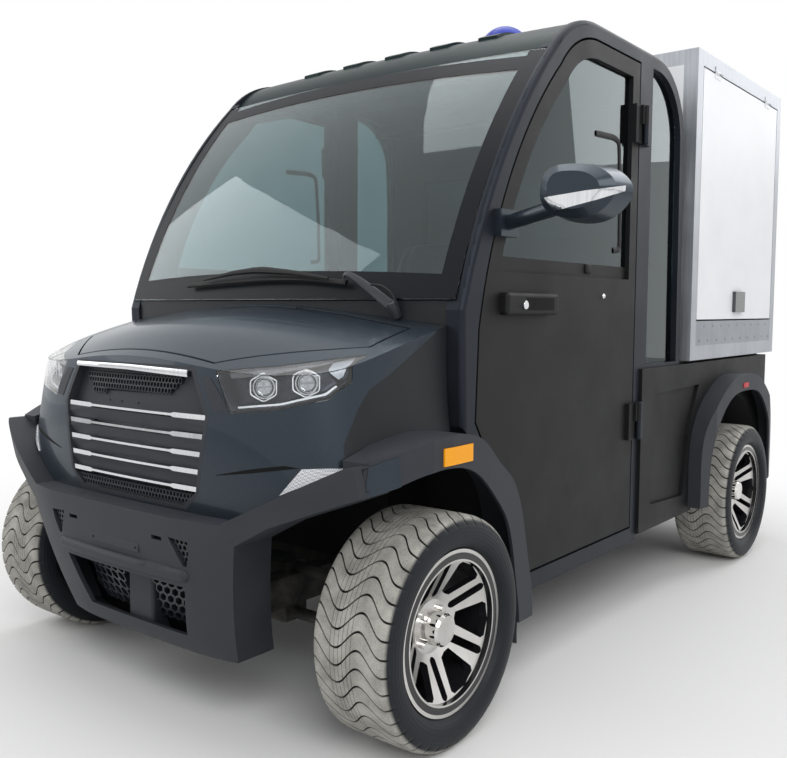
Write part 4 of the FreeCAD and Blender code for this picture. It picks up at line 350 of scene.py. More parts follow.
def turned(profile, centre, axis, sides=24):
    """A closed form: a profile of (height, radius) turned about an axis through the centre."""
    profile = np.asarray(profile, float)
    axis = unit(np.asarray(axis, float))
    one = unit(np.cross(axis, (0.0, 0.0, 1.0) if abs(axis[2]) < 0.9 else (1.0, 0.0, 0.0)))
    two = np.cross(axis, one)
    turn = circle(sides)
    ring = np.cos(turn)[:, None] * one + np.sin(turn)[:, None] * two
    points = np.asarray(centre, float) + profile[:, None, :1] * axis + profile[:, None, 1:] * ring
    return points.reshape(-1, 3), grid_faces(len(profile), sides, wrap_columns=True)


def inside(points, outline):
    """True for points within a polygon: a ray to the right crosses its edges an odd number of times."""
    outline = np.asarray(outline, float)
    after = np.roll(outline, -1, axis=0)
    x, y = points[:, :1], points[:, 1:]
    spans = (outline[:, 1] > y) != (after[:, 1] > y)
    height = np.where(after[:, 1] == outline[:, 1], 1e-12, after[:, 1] - outline[:, 1])
    crossing = (after[:, 0] - outline[:, 0]) * (y - outline[:, 1]) / height + outline[:, 0]
    return (spans & (x < crossing)).sum(1) % 2 == 1


def honeycomb(outline, depth_at, pitch, wall, stand, lean=0.0, stretch=1.0):
    """Open six-sided cells over an (x, z) outline: rows half a pitch apart, each cell a ring with walls."""
    low, high = np.min(outline, 0), np.max(outline, 0)
    columns = np.arange(low[0] - pitch, high[0] + pitch, pitch)
    rows = np.arange(low[1] - pitch, high[1] + pitch, pitch * 0.866 * stretch)
    x, z = np.meshgrid(columns, rows)
    x = x + (np.arange(len(rows)) % 2)[:, None] * pitch / 2
    x = x + lean * (z - low[1])
    middles = np.stack([x.ravel(), z.ravel()], 1)
    middles = middles[inside(middles, outline)]
    turn = np.radians(30 + 60 * np.arange(6))
    corner = np.stack([np.cos(turn), np.sin(turn) * stretch], 1) * pitch / math.sqrt(3)
    corner[:, 0] += lean * corner[:, 1]
    rings = np.stack([corner * 1.001, corner * 1.001, corner * wall, corner * wall])
    heights = np.array((0.0, stand, stand, 0.0))
    flat = middles[:, None, None] + rings[None]
    depth = depth_at(flat[..., 0], flat[..., 1]) - heights[None, :, None]
    points = np.stack([flat[..., 0], depth, flat[..., 1]], -1)
    return points.reshape(-1, 3), repeated(grid_faces(4, 6, True, True), len(middles), 24)


# Shader groups shared by the finishes


def shader_group(name, number, outputs):
    """An empty node group with a Vector input, one number input and named number outputs.

    number is (its name, its value). Returns the tree, the outputs of its inner start, and its inner end.
    """
    tree = bpy.data.node_groups.new(name, "ShaderNodeTree")
    tree.interface.new_socket(name="Vector", in_out="INPUT", socket_type="NodeSocketVector")
    setting = tree.interface.new_socket(name=number[0], in_out="INPUT", socket_type="NodeSocketFloat")
    setting.default_value = number[1]
    for socket in outputs:
        tree.interface.new_socket(name=socket, in_out="OUTPUT", socket_type="NodeSocketFloat")
    return tree, tree.nodes.new("NodeGroupInput").outputs, tree.nodes.new("NodeGroupOutput")


def closed(tree, out, *sources):
    """The group's tree, once the sources are linked to its inner end in turn."""
    for source, socket in zip(sources, out.inputs):
        tree.links.new(source, socket)
    return tree


def put(tree, kind, links=(), **values):
    """A node in a tree with its plain values set and its inputs linked; keys starting in_ set an input."""
    node = tree.nodes.new("ShaderNode" + kind)
    for key, value in values.items():
        if key.startswith("in_"):
            socket = key[3:]
            socket = int(socket) if socket.isdigit() else socket.replace("_", " ").title()
            node.inputs[socket].default_value = value
        else:
            setattr(node, key, value)
    for socket, source in dict(links).items():
        tree.links.new(source, node.inputs[socket])
    return node


def calc(tree, operation, one, two=None):
    """A Math node's result; each side is a number or another node's output."""
    node = put(tree, "Math", operation=operation)
    for socket, side in zip(node.inputs, (one, two)):
        if isinstance(side, (int, float)):
            socket.default_value = side
        elif side is not None:
            tree.links.new(side, socket)
    return node.outputs[0]


def ramp(tree, source, low, high, start=0.0, end=1.0):
    """The source's run from low to high carried to start to end, and held there outside it."""
    return put(tree, "MapRange", {0: source}, in_1=low, in_2=high, in_3=start, in_4=end).outputs[0]


def blend(tree, share, one, two):
    """A mix of two colours by a share; each is three numbers or another node's output."""
    node = put(tree, "Mix", {0: share}, data_type="RGBA")
    for socket, side in zip((node.inputs[6], node.inputs[7]), (one, two)):
        if isinstance(side, tuple):
            socket.default_value = (*side, 1.0)
        else:
            tree.links.new(side, socket)
    return node.outputs[2]


def noise(tree, place, scale, detail, **values):
    return put(tree, "TexNoise", {"Vector": place}, in_Scale=scale, in_Detail=detail, **values).outputs["Fac"]


def moulded_grain():
    """Fine moulded pebbles over slow cloudy tone: a small noise and a Voronoi cell height, and a broad noise."""
    tree, given, out = shader_group("moulded_grain", ("Scale", 900.0), ("Tone", "Height"))
    cells = put(tree, "TexVoronoi", {"Vector": given[0], "Scale": given[1]})
    fine = put(tree, "TexNoise", {"Vector": given[0], "Scale": given[1]}, in_Detail=3.0)
    broad = noise(tree, given[0], 6.0, 5.0, in_Roughness=0.6)
    height = calc(tree, "MULTIPLY", cells.outputs["Distance"], fine.outputs["Fac"])
    return closed(tree, out, ramp(tree, broad, 0.32, 0.68), height)


def brushed_metal():
    """Long fine strokes: a noise squeezed along one axis, with a broad noise for handling marks."""
    tree, given, out = shader_group("brushed_metal", ("Scale", 60.0), ("Tone", "Height"))
    squeezed = put(tree, "Mapping", {"Vector": given[0]}, in_Scale=(1.0, 1.0, 0.03))
    strokes = put(tree, "TexNoise", {"Vector": squeezed.outputs[0], "Scale": given[1]}, in_Detail=6.0)
    tone = calc(tree, "MULTIPLY", strokes.outputs["Fac"], noise(tree, given[0], 5.0, 4.0))
    return closed(tree, out, ramp(tree, tone, 0.12, 0.42), strokes.outputs["Fac"])


def paint_film():
    """A slow ripple of sprayed paint with a fine metal flake: a middle noise, and a very small Voronoi tone."""
    tree, given, out = shader_group("paint_film", ("Scale", 2600.0), ("Tone", "Height"))
    flake = put(tree, "TexVoronoi", {"Vector": given[0], "Scale": given[1]})
    split = put(tree, "SeparateColor", {0: flake.outputs["Color"]})
    return closed(tree, out, split.outputs[0], noise(tree, given[0], 55.0, 1.0))


def road_dust():
    """How much dust lies at a point: most low down, broken up by noise, none above the reach."""
    tree, given, out = shader_group("road_dust", ("Reach", 0.6), ("Mask",))
    height = put(tree, "SeparateXYZ", {0: given[0]}).outputs[2]
    low = put(tree, "MapRange", {0: height, 2: given[1]}, in_3=1.0, in_4=0.0).outputs[0]
    patchy = ramp(tree, noise(tree, given[0], 14.0, 7.0, in_Roughness=0.65), 0.35, 0.75)
    return closed(tree, out, calc(tree, "MULTIPLY", low, patchy))


GROUPS = {"grain": moulded_grain(), "brushed": brushed_metal(), "paint": paint_film()}
DUST = road_dust()
DUST_COLOUR = (0.17, 0.16, 0.145)

# Finishes: each is kept in FINISHES under its name

FINISHES = {}


def shader_of(material):
    return material.node_tree.nodes["Principled BSDF"]


def socket_name(word):
    """A shader socket's name from small letters."""
    return word.replace("_", " ").title().replace("Ior", "IOR")


def plain(name, colour, **sockets):
    """A material whose Principled shader has these plain values."""
    material = bpy.data.materials.new(name)
    material.use_nodes = True
    shader = shader_of(material)
    shader.inputs["Base Color"].default_value = (*colour, 1.0)
    for socket, value in sockets.items():
        shader.inputs[socket_name(socket)].default_value = value
    return material


def wired(material, **sources):
    """The material, once the outputs given are linked to its Principled shader."""
    for socket, source in sources.items():
        material.node_tree.links.new(source, shader_of(material).inputs[socket_name(socket)])
    return material


def bumped(tree, height, strength, distance):
    return put(tree, "Bump", {"Height": height}, in_Strength=strength, in_Distance=distance).outputs[0]


def patterned(material, group, scale, colours):
    """A group's pattern laid over a material: its tree, the place, the two-colour mix, the tone and the height."""
    tree = material.node_tree
    place = put(tree, "TexCoord").outputs["Object"]
    tone, height = put(tree, "Group", {"Vector": place}, node_tree=GROUPS[group], in_Scale=scale).outputs
    return tree, place, blend(tree, tone, *colours), tone, height


def dressed(name, group, scale, colours, rough, bump, dust=0.0, **sockets):
    """A finish whose colour and roughness run between two values with its group's tone, bumped by its height.

    Dust pales it towards the ground, up to the height that dust gives in metres. bump is (strength, distance).
    """
    material = plain(name, colours[0], **sockets)
    tree, place, colour, tone, height = patterned(material, group, scale, colours)
    roughness = ramp(tree, tone, 0.0, 1.0, *rough)
    if dust:
        layer = put(tree, "Group", {"Vector": place}, node_tree=DUST, in_Reach=dust).outputs[0]
        colour = blend(tree, layer, colour, DUST_COLOUR)
        roughness = calc(tree, "MAXIMUM", roughness, layer)
    if bump:
        wired(material, normal=bumped(tree, height, *bump))
    FINISHES[name] = wired(material, base_color=colour, roughness=roughness)


def clear(name, group, scale, colours, **sockets):
    """Glass or clear plastic: its tint varies a little with the group's tone, and lamps' rays pass straight."""
    material = plain(name, colours[0], transmission_weight=1.0, **sockets)
    tree, _, colour, _, _ = patterned(material, group, scale, colours)
    wired(material, base_color=colour)
    shadow_ray = put(tree, "LightPath").outputs["Is Shadow Ray"]
    passing = put(tree, "BsdfTransparent", in_Color=(*colours[0], 1.0))
    mix = put(tree, "MixShader", {0: shadow_ray, 1: shader_of(material).outputs[0], 2: passing.outputs[0]})
    tree.links.new(mix.outputs[0], tree.nodes["Material Output"].inputs["Surface"])
    FINISHES[name] = material


AXLE_YS = {"front": -1.165, "rear": 0.985}
AXLE_Z = 0.28
WHEEL_X = 0.685
SPOKE_REACH = 0.1735
LIP_START = 0.1895
CAP_REACH = 0.062


def wheel_radius(tree, axle):
    """The distance from the axle's line, and the object place, for a wheel's finish."""
    place = put(tree, "TexCoord").outputs["Object"]
    centred = put(tree, "Mapping", {"Vector": place}, in_Location=(0.0, -AXLE_YS[axle], -AXLE_Z))
    flat = put(tree, "VectorMath", {0: centred.outputs[0]}, operation="MULTIPLY", in_1=(0.0, 1.0, 1.0))
    return put(tree, "VectorMath", {0: flat.outputs[0]}, operation="LENGTH").outputs["Value"], place


def rim_finish(name, axle, out):
    """Machined metal on faces that look outwards, turned in fine rings, chrome at the cap, gloss black within."""
    material = plain(name, (0.012, 0.012, 0.013), roughness=0.22)
    tree = material.node_tree
    radius, place = wheel_radius(tree, axle)
    facing = put(tree, "SeparateXYZ", {0: put(tree, "TexCoord").outputs["Normal"]}).outputs[0]
    outward = ramp(tree, calc(tree, "MULTIPLY", facing, out), 0.6, 0.7)
    bands = calc(tree, "MAXIMUM", calc(tree, "LESS_THAN", radius, SPOKE_REACH),
                 calc(tree, "GREATER_THAN", radius, LIP_START))
    metal = calc(tree, "MAXIMUM", calc(tree, "MULTIPLY", outward, bands),
                 calc(tree, "LESS_THAN", radius, CAP_REACH))
    rings = calc(tree, "SINE", calc(tree, "MULTIPLY", radius, 2400.0))
    marks = put(tree, "Group", {"Vector": place}, node_tree=GROUPS["grain"]).outputs["Tone"]
    bright = blend(tree, marks, (0.52, 0.51, 0.49), (0.74, 0.73, 0.71))
    chrome = ramp(tree, radius, 0.046, 0.066, 0.07, 0.3)
    FINISHES[name] = wired(material, base_color=blend(tree, metal, (0.012, 0.012, 0.014), bright), metallic=metal,
                           roughness=put(tree, "Mix", {0: metal, 3: chrome}, in_2=0.16).outputs[0],
                           normal=bumped(tree, rings, 0.12, 0.0002))


TREAD_HALF = 0.100
SIPE_SHARES = (0.27, 0.33, 0.39, 0.45, 0.51, 0.57)


def tyre_finish(name, axle, out):
    """Worn grey tread over a satin black wall with thin raised rings; its grooves and the fine sipe cuts go near
    black, partly the bare rubber's black and partly painted shade.
    """
    material = plain(name, (0.02, 0.02, 0.021), roughness=0.6, specular_ior_level=0.22)
    tree = material.node_tree
    radius, place = wheel_radius(tree, axle)
    groove = put(tree, "Attribute", attribute_name="groove").outputs["Fac"]
    across = put(tree, "SeparateXYZ", {0: place}).outputs[0]
    tread = ramp(tree, radius, 0.2655, 0.2715)
    grit = noise(tree, place, 420.0, 4.0, in_Roughness=0.7)
    tone = ramp(tree, calc(tree, "ADD", grit, noise(tree, place, 22.0, 6.0)), 0.75, 1.25)
    worn = blend(tree, tone, (0.20, 0.196, 0.178), (0.44, 0.43, 0.395))
    # The sipe cuts are not modelled: dark lines painted round the tread, partly the bare rubber's black and partly
    # painted shade in the cuts.
    sipe_black_and_shade = None
    for share in SIPE_SHARES:
        at = out * (WHEEL_X + (2 * share - 1) * TREAD_HALF)
        away = calc(tree, "ABSOLUTE", calc(tree, "SUBTRACT", across, at))
        near = ramp(tree, away, 0.0004, 0.0010, 1.0, 0.0)
        sipe_black_and_shade = near if sipe_black_and_shade is None else calc(tree, "MAXIMUM", sipe_black_and_shade, near)
    # Grooves and sipe lines go darker than the wall: partly the bare rubber's own black, partly painted shade in
    # the cuts.
    dark = calc(tree, "MAXIMUM", groove, calc(tree, "MULTIPLY", sipe_black_and_shade, 0.75))
    colour = blend(tree, dark, blend(tree, tread, (0.011, 0.0125, 0.016), worn), (0.006, 0.006, 0.006))
    rings = calc(tree, "SINE", calc(tree, "MULTIPLY", radius, 700.0))
    wall = put(tree, "Mix", {0: tread, 2: rings, 3: grit}).outputs[0]
    FINISHES[name] = wired(material, base_color=colour, roughness=ramp(tree, tread, 0.0, 1.0, 0.5, 0.92),
                           normal=bumped(tree, wall, 0.25, 0.0008))


def reflector(name, dark, bright):
    """A moulded reflector: small square prisms whose tone alternates, under a clear gloss."""
    material = plain(name, dark, roughness=0.2, specular_ior_level=0.25)
    tree = material.node_tree
    prisms = put(tree, "TexChecker", {"Vector": put(tree, "TexCoord").outputs["Object"]}, in_Scale=260.0,
                 in_Color1=(*dark, 1.0), in_Color2=(*bright, 1.0)).outputs
    FINISHES[name] = wired(material, base_color=prisms["Color"], normal=bumped(tree, prisms["Fac"], 0.3, 0.0008))


dressed("nose_paint", "paint", 2600.0, ((0.013, 0.018, 0.025), (0.026, 0.035, 0.046)), (0.26, 0.36),
        (0.05, 0.002), metallic=0.25, coat_weight=0.32, coat_roughness=0.03, specular_ior_level=0.3,
        specular_tint=(0.66, 0.84, 1.0, 1.0))
dressed("side_matte", "grain", 1400.0, ((0.011, 0.0125, 0.0145), (0.015, 0.017, 0.02)), (0.42, 0.5),
        (0.15, 0.0004), specular_ior_level=0.28)
dressed("moulded_black", "grain", 1100.0, ((0.022, 0.0245, 0.031), (0.03, 0.033, 0.041)), (0.5, 0.62),
        (0.3, 0.0006), dust=0.22, specular_ior_level=0.3)
dressed("door_black", "grain", 1500.0, ((0.006, 0.0062, 0.0068), (0.0085, 0.0088, 0.0098)), (0.46, 0.58),
        (0.25, 0.0005), dust=0.3, specular_ior_level=0.22)
dressed("frame_black", "grain", 900.0, ((0.010, 0.0115, 0.0155), (0.014, 0.016, 0.021)), (0.4, 0.5),
        (0.12, 0.0004), specular_ior_level=0.22, specular_tint=(0.7, 0.82, 1.0, 1.0))
dressed("roof_gloss", "paint", 1800.0, ((0.006, 0.013, 0.014), (0.011, 0.02, 0.021)), (0.3, 0.4), (0.06, 0.002),
        specular_ior_level=0.14, specular_tint=(0.6, 0.85, 0.82, 1.0))
dressed("box_white", "grain", 300.0, ((0.76, 0.78, 0.81), (0.81, 0.825, 0.845)), (0.34, 0.45), (0.05, 0.0006),
        specular_ior_level=0.4)
dressed("box_aluminium", "brushed", 120.0, ((0.36, 0.38, 0.41), (0.5, 0.525, 0.56)), (0.38, 0.5),
        (0.08, 0.0004), metallic=0.75)
dressed("kick_grey", "brushed", 40.0, ((0.27, 0.29, 0.315), (0.38, 0.4, 0.43)), (0.42, 0.6), (0.1, 0.0005),
        metallic=0.6)
dressed("chrome", "brushed", 160.0, ((0.62, 0.63, 0.65), (0.76, 0.77, 0.79)), (0.08, 0.2), (0.03, 0.0002),
        metallic=1.0)
clear("screen_glass", "grain", 40.0, ((0.47, 0.68, 0.72), (0.51, 0.71, 0.75)), roughness=0.0, ior=1.5)
clear("side_glass", "grain", 40.0, ((0.10, 0.155, 0.16), (0.12, 0.175, 0.18)), roughness=0.0, ior=1.5,
        specular_tint=(0.6, 0.8, 0.85, 1.0))
clear("lamp_clear", "paint", 400.0, ((0.9, 0.92, 0.93), (0.94, 0.95, 0.96)), roughness=0.01, ior=1.42)
dressed("frit_black", "paint", 1500.0, ((0.006, 0.007, 0.009), (0.010, 0.012, 0.015)), (0.35, 0.45), None,
        specular_ior_level=0.12)
dressed("lamp_housing", "brushed", 200.0, ((0.03, 0.032, 0.036), (0.055, 0.058, 0.064)), (0.2, 0.32),
        (0.05, 0.0004), coat_weight=0.5)
dressed("lamp_bowl", "brushed", 130.0, ((0.012, 0.015, 0.023), (0.034, 0.04, 0.056)), (0.2, 0.32),
        (0.05, 0.0005), metallic=0.7)
dressed("light_guide", "paint", 900.0, ((0.62, 0.64, 0.66), (0.78, 0.79, 0.8)), (0.1, 0.2), (0.05, 0.0005),
        coat_weight=0.8)
reflector("wedge_white", (0.5, 0.52, 0.56), (0.85, 0.86, 0.88))
reflector("side_amber", (0.85, 0.30, 0.003), (0.95, 0.42, 0.006))
reflector("side_red", (0.42, 0.006, 0.012), (0.62, 0.012, 0.02))
reflector("tail_red", (0.3, 0.006, 0.008), (0.5, 0.012, 0.015))
dressed("beacon_blue", "grain", 260.0, ((0.004, 0.018, 0.30), (0.007, 0.03, 0.42)), (0.2, 0.3), (0.1, 0.001),
        specular_ior_level=0.25, specular_tint=(0.6, 0.7, 1.0, 1.0))
dressed("cast_dark", "grain", 500.0, ((0.007, 0.007, 0.007), (0.014, 0.0135, 0.013)), (0.6, 0.8), (0.4, 0.001),
        dust=0.5, specular_ior_level=0.25)
# painted_shade_black is near black, darker than any of the cart's plastics: it is painted shade behind the
# grille's and bumper's cells, in the grille's pin holes, under the nose's fin and in the door handles' hollows.
dressed("painted_shade_black", "grain", 800.0, ((0.002, 0.002, 0.0022), (0.004, 0.004, 0.0045)), (0.6, 0.75),
        (0.2, 0.0005), specular_ior_level=0.15)
dressed("mesh_black", "grain", 900.0, ((0.016, 0.018, 0.023), (0.026, 0.029, 0.036)), (0.32, 0.45),
        (0.15, 0.0004), specular_ior_level=0.45)
dressed("rubber_seal", "grain", 1200.0, ((0.004, 0.004, 0.0045), (0.007, 0.007, 0.008)), (0.5, 0.65),
        (0.2, 0.0005), specular_ior_level=0.3)
dressed("seat_vinyl", "grain", 700.0, ((0.02, 0.02, 0.022), (0.03, 0.03, 0.033)), (0.42, 0.55), (0.4, 0.0008),
        specular_ior_level=0.4)
for end, out in (("left", 1), ("right", -1)):
    for axle in AXLE_YS:
        key = axle + "_" + end
        rim_finish("rim_" + key, axle, out)
        tyre_finish("tyre_" + key, axle, out)

NODE_FINISHES = {
    "nose_paint": ("hood", "nose_fascia", "mirror_left"),
    "side_matte": ("side_panels",),
    "moulded_black": ("front_bumper", "front_flares", "rear_flares", "rear_bumper", "grille", "dashboard"),
    "door_black": ("door_left", "door_right", "cab_tub", "cab_back_wall", "bed_sides", "rear_body"),
    "frame_black": ("cab_frame",),
    "roof_gloss": ("roof",),
    "box_white": ("box_panels", "hatch_left", "hatch_right", "rear_door_left", "rear_door_right"),
    "box_aluminium": ("box_frame",),
    "kick_grey": ("box_kick_plates",),
    "chrome": ("grille_bars",),
    "screen_glass": ("windscreen",),
    "side_glass": ("cab_glass", "door_glass_left", "door_glass_right"),
    "lamp_clear": ("headlamp_lenses",),
    "lamp_housing": ("headlamp_housings", "hatch_latch_left", "hatch_latch_right", "rear_door_latch_left",
                     "rear_door_latch_right", "battery_pack", "steering_wheel"),
    "tail_red": ("tail_lamps",),
    "beacon_blue": ("beacon_dome",),
    "cast_dark": ("chassis_frame", "rear_axle", "front_suspension", "knuckle_left", "knuckle_right"),
    # The bumper mesh node is the backing behind the bumper's cells, so it is painted shade.
    "painted_shade_black": ("bumper_mesh",),
    "seat_vinyl": ("seat_cushions", "seat_backs"),
    **{name: (name,) for name in ("rim_front_left", "rim_front_right", "rim_rear_left", "rim_rear_right")},
    "rubber_seal": ("tyre_front_left", "tyre_front_right", "tyre_rear_left", "tyre_rear_right"),
}


def finish_nodes():
    for finish, names in NODE_FINISHES.items():
        for name in names:
            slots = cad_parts[name].data.materials
            slots.clear()
            slots.append(FINISHES[finish])


# Studio

WORLD_LEVEL = 0.55
FLOOR_COLOUR = (0.82, 0.82, 0.82)
FLOOR_REACH = 16.0
FLOOR_FADE = (1.6, 3.6)
WHITE = (1.0, 1.0, 1.0, 1.0)
SOFTBOXES = {
    "key": ((5.5, -5.0, 6.0), 5.0, 300.0),
    "fill": ((-6.0, -4.0, 4.0), 5.0, 120.0),
    "top": ((0.0, 0.5, 7.0), 6.0, 180.0),
    "back": ((2.0, 7.0, 5.0), 5.0, 150.0),
}
AIM_HEIGHT = 0.9


def shown_only(tree, lit, seen, share):
    return put(tree, "MixShader", {0: share, 1: lit, 2: seen}).outputs[0]


def pale_world():
    """A world that looks white to the camera, in gloss and through glass, and lights at its plain level."""
    world = bpy.data.worlds.new("pale_world")
    bpy.context.scene.world = world
    world.use_nodes = True
    tree = world.node_tree
    tree.nodes.clear()
    ray = put(tree, "LightPath").outputs
    direct = calc(tree, "MAXIMUM", ray["Is Camera Ray"], ray["Is Glossy Ray"])
    through = calc(tree, "MAXIMUM", direct, ray["Is Transmission Ray"])
    lit, seen = (put(tree, "Background", in_Color=WHITE, in_Strength=level).outputs[0]
                 for level in (WORLD_LEVEL, 1.0))
    output = put(tree, "OutputWorld", {"Surface": shown_only(tree, lit, seen, through)})
    output.is_active_output = True


def softboxes():
    """Square soft lamps aimed at the cart's middle."""
    for name, (place, width, power) in SOFTBOXES.items():
        lamp = bpy.data.lights.new(name, "AREA")
        lamp.shape = "SQUARE"
        lamp.size = width
        lamp.energy = power
        obj = link(bpy.data.objects.new(name, lamp))
        obj.location = place
        aim = Vector((0.0, 0.0, AIM_HEIGHT)) - Vector(place)
        obj.rotation_euler = aim.to_track_quat("-Z", "Y").to_euler()


def paper_floor():
    """A pale floor that fades to white, for the camera, away from the cart."""
    mesh = bpy.data.meshes.new("floor")
    reach = FLOOR_REACH
    mesh.from_pydata([(-reach, -reach, 0), (reach, -reach, 0), (reach, reach, 0), (-reach, reach, 0)], [],
                     [(0, 1, 2, 3)])
    floor = link(bpy.data.objects.new("floor", mesh))
    paper = plain("floor_paper", FLOOR_COLOUR, roughness=0.9)
    tree = paper.node_tree
    place = put(tree, "TexCoord").outputs["Object"]
    away = put(tree, "VectorMath", {0: place}, operation="LENGTH").outputs["Value"]
    far = put(tree, "MapRange", {0: away}, in_1=FLOOR_FADE[0], in_2=FLOOR_FADE[1],
              interpolation_type="SMOOTHSTEP").outputs[0]
    fade = calc(tree, "MULTIPLY", far, put(tree, "LightPath").outputs["Is Camera Ray"])
    bright = put(tree, "Emission", in_Color=WHITE, in_Strength=1.0).outputs[0]
    tree.links.new(shown_only(tree, shader_of(paper).outputs[0], bright, fade),
                   tree.nodes["Material Output"].inputs["Surface"])
    floor.data.materials.append(paper)


# Tyres

TREAD_PITCHES = 43
TREAD_WAVE = 0.024
GROOVE_WIDTH = 0.0058
GROOVE_DEPTH = 0.0055
GROOVE_END_RADIUS = 0.258
GROOVE_END = 0.1115
GROOVE_FADE = 0.010
TYRE_PROFILE = (  # (distance out from the tyre's middle, radius) of its outer skin
    (0.0, 0.2800), (0.060, 0.2800), (0.085, 0.2793), (0.096, 0.2765), (0.104, 0.2705), (0.110, 0.2610),
    (0.1145, 0.2460), (0.1150, 0.2300), (0.1125, 0.2160), (0.1060, 0.2075), (0.0975, 0.2030), (0.0875, 0.2005),
    (0.0870, 0.1790))
TYRE_LINING = ((0.062, 0.179), (0.099, 0.222), (0.085, 0.264), (0.0, 0.2645))


def build_tyre(axle, side, out):
    """A closed tyre turned about its axle: its skin drops into waved grooves that cross the tread.

    A point at tread width share u and angle a lies at a plus the wave, three half turns of a cosine of u, and
    its radius drops by the groove's depth where the angle is within half a groove of a pitch line.
    """
    x, r = np.array(TYRE_PROFILE).T
    crown = np.linspace(0, 0.096, 17)
    half = np.concatenate([np.stack([crown, np.interp(crown, x[:4], r[:4])], 1),
                           rounded_path(TYRE_PROFILE[3:], 20, 2)[1:]])
    lining = np.array(TYRE_LINING)
    ring = np.concatenate([half, lining, (lining * (-1, 1))[::-1][1:], (half * (-1, 1))[::-1][:-1]])
    across, radius = ring.T
    skin = ~np.isin(np.arange(len(ring)), np.arange(len(half), len(ring) - len(half) + 1))
    share = np.clip((across / TREAD_HALF + 1) / 2, 0, 1)
    wave = TREAD_WAVE * np.cos(3 * math.pi * share) / AXLE_Z
    depth = np.where(skin & (radius > GROOVE_END_RADIUS),
                     np.clip((GROOVE_END - np.abs(across)) / GROOVE_FADE, 0, 1), 0)
    pitch = 2 * math.pi / TREAD_PITCHES
    edge = GROOVE_WIDTH / AXLE_Z / 2
    steps = np.array((-edge, -edge * 0.7, edge * 0.7, edge, pitch * 0.3, pitch * 0.5, pitch * 0.7))
    angle = (np.arange(TREAD_PITCHES)[:, None] * pitch + steps).ravel()
    cut = np.tile((0.0, 1.0, 1.0, 0.0, 0.0, 0.0, 0.0), TREAD_PITCHES)
    turn = angle[:, None] + wave[None]
    fall = cut[:, None] * depth[None]
    reach = radius[None] - GROOVE_DEPTH * fall
    points = np.stack([out * (WHEEL_X + np.broadcast_to(across, turn.shape)),
                       AXLE_YS[axle] - reach * np.cos(turn), AXLE_Z + reach * np.sin(turn)], -1)
    faces = grid_faces(len(angle), len(ring), True, True)
    wheel = axle + "_" + side
    piece = surface("tyre_" + wheel + "_rubber", [(points.reshape(-1, 3), faces)], "tyre_" + wheel,
                    "wheel_" + wheel, 50.0, {"groove": fall})
    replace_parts(piece, "tyre_" + wheel)


def build_tyres():
    for axle in AXLE_YS:
        build_tyre(axle, "left", 1)
        build_tyre(axle, "right", -1)


# Grille and bumper meshes

UPPER_MESH_PIXELS = ((90.4, 370.6), (186, 379), (171.5, 394.3), (96.5, 389))
LOWER_MESH_PIXELS = ((76.5, 470.5), (194, 493.8), (191.5, 499.5), (184, 505), (83, 484))
LOWER_MESH_Y = -1.4975
LOWER_MESH_BOW = 0.12
MESH_LIFT = 0.0012
CELL_PITCH = 0.0125
CELL_STAND = 0.006
BAR_STAND = 0.006
RING_Z = 0.894
TOP_BAR = (((-0.236, 0.8975), (0.0, 0.8985), (0.229, 0.8935)), ((-0.238, 0.8855), (0.0, 0.885), (0.229, 0.8765)))
PIN_HOLE_SHADE = ((-0.002, 0), (-0.002, 0.0032), (0.0004, 0.0032), (0.0004, 0))
GRILLE_HOLE_PIXELS = ((110.3, 399.7), (122, 401.2), (138.6, 403.2))
BUMPER_MESHES = (  # name, outline, the x and z where the depth is read, lift, (pitch, wall, stand, lean, stretch)
    ("cheek_mesh",
     ((0.2225, 0.4960), (0.2875, 0.4925), (0.2835, 0.4600), (0.2700, 0.4285), (0.2580, 0.4300)),
     ((0.225, 0.285), (0.435, 0.495)), 0.0008, (0.0145, 0.72, 0.004, 0.0, 1.2)),
    ("chin_mesh",
     ((0.058, 0.366), (0.240, 0.366), (0.200, 0.238), (0.058, 0.238)),
     ((0.06, 0.2), (0.24, 0.36)), 0.001, (0.030, 0.74, 0.012, 0.45, 0.9)),
)


def outline_at(pixels, names):
    """The (x, z) outline that photograph pixels draw on the named nodes."""
    places, _ = seen_at(pixels, names)
    return places[:, [0, 2]]


def mesh_field(outline, depth_at, pitch, wall, stand, **shape):
    """Cells over an outline, with a thin near-black backing plate behind them that is painted shade seen through
    the cells; both follow the depth.
    """
    def lifted_depth(x, z):
        return depth_at(x, z) - MESH_LIFT

    cells = honeycomb(outline, lifted_depth, pitch, wall, stand, **shape)
    outline = np.asarray(outline)
    x, z = np.moveaxis(between(outline[:2], outline[:1:-1], 10, 16), -1, 0)
    return cells, plate(np.stack([x, lifted_depth(x, z), z], -1), (0, 0.0012, 0))


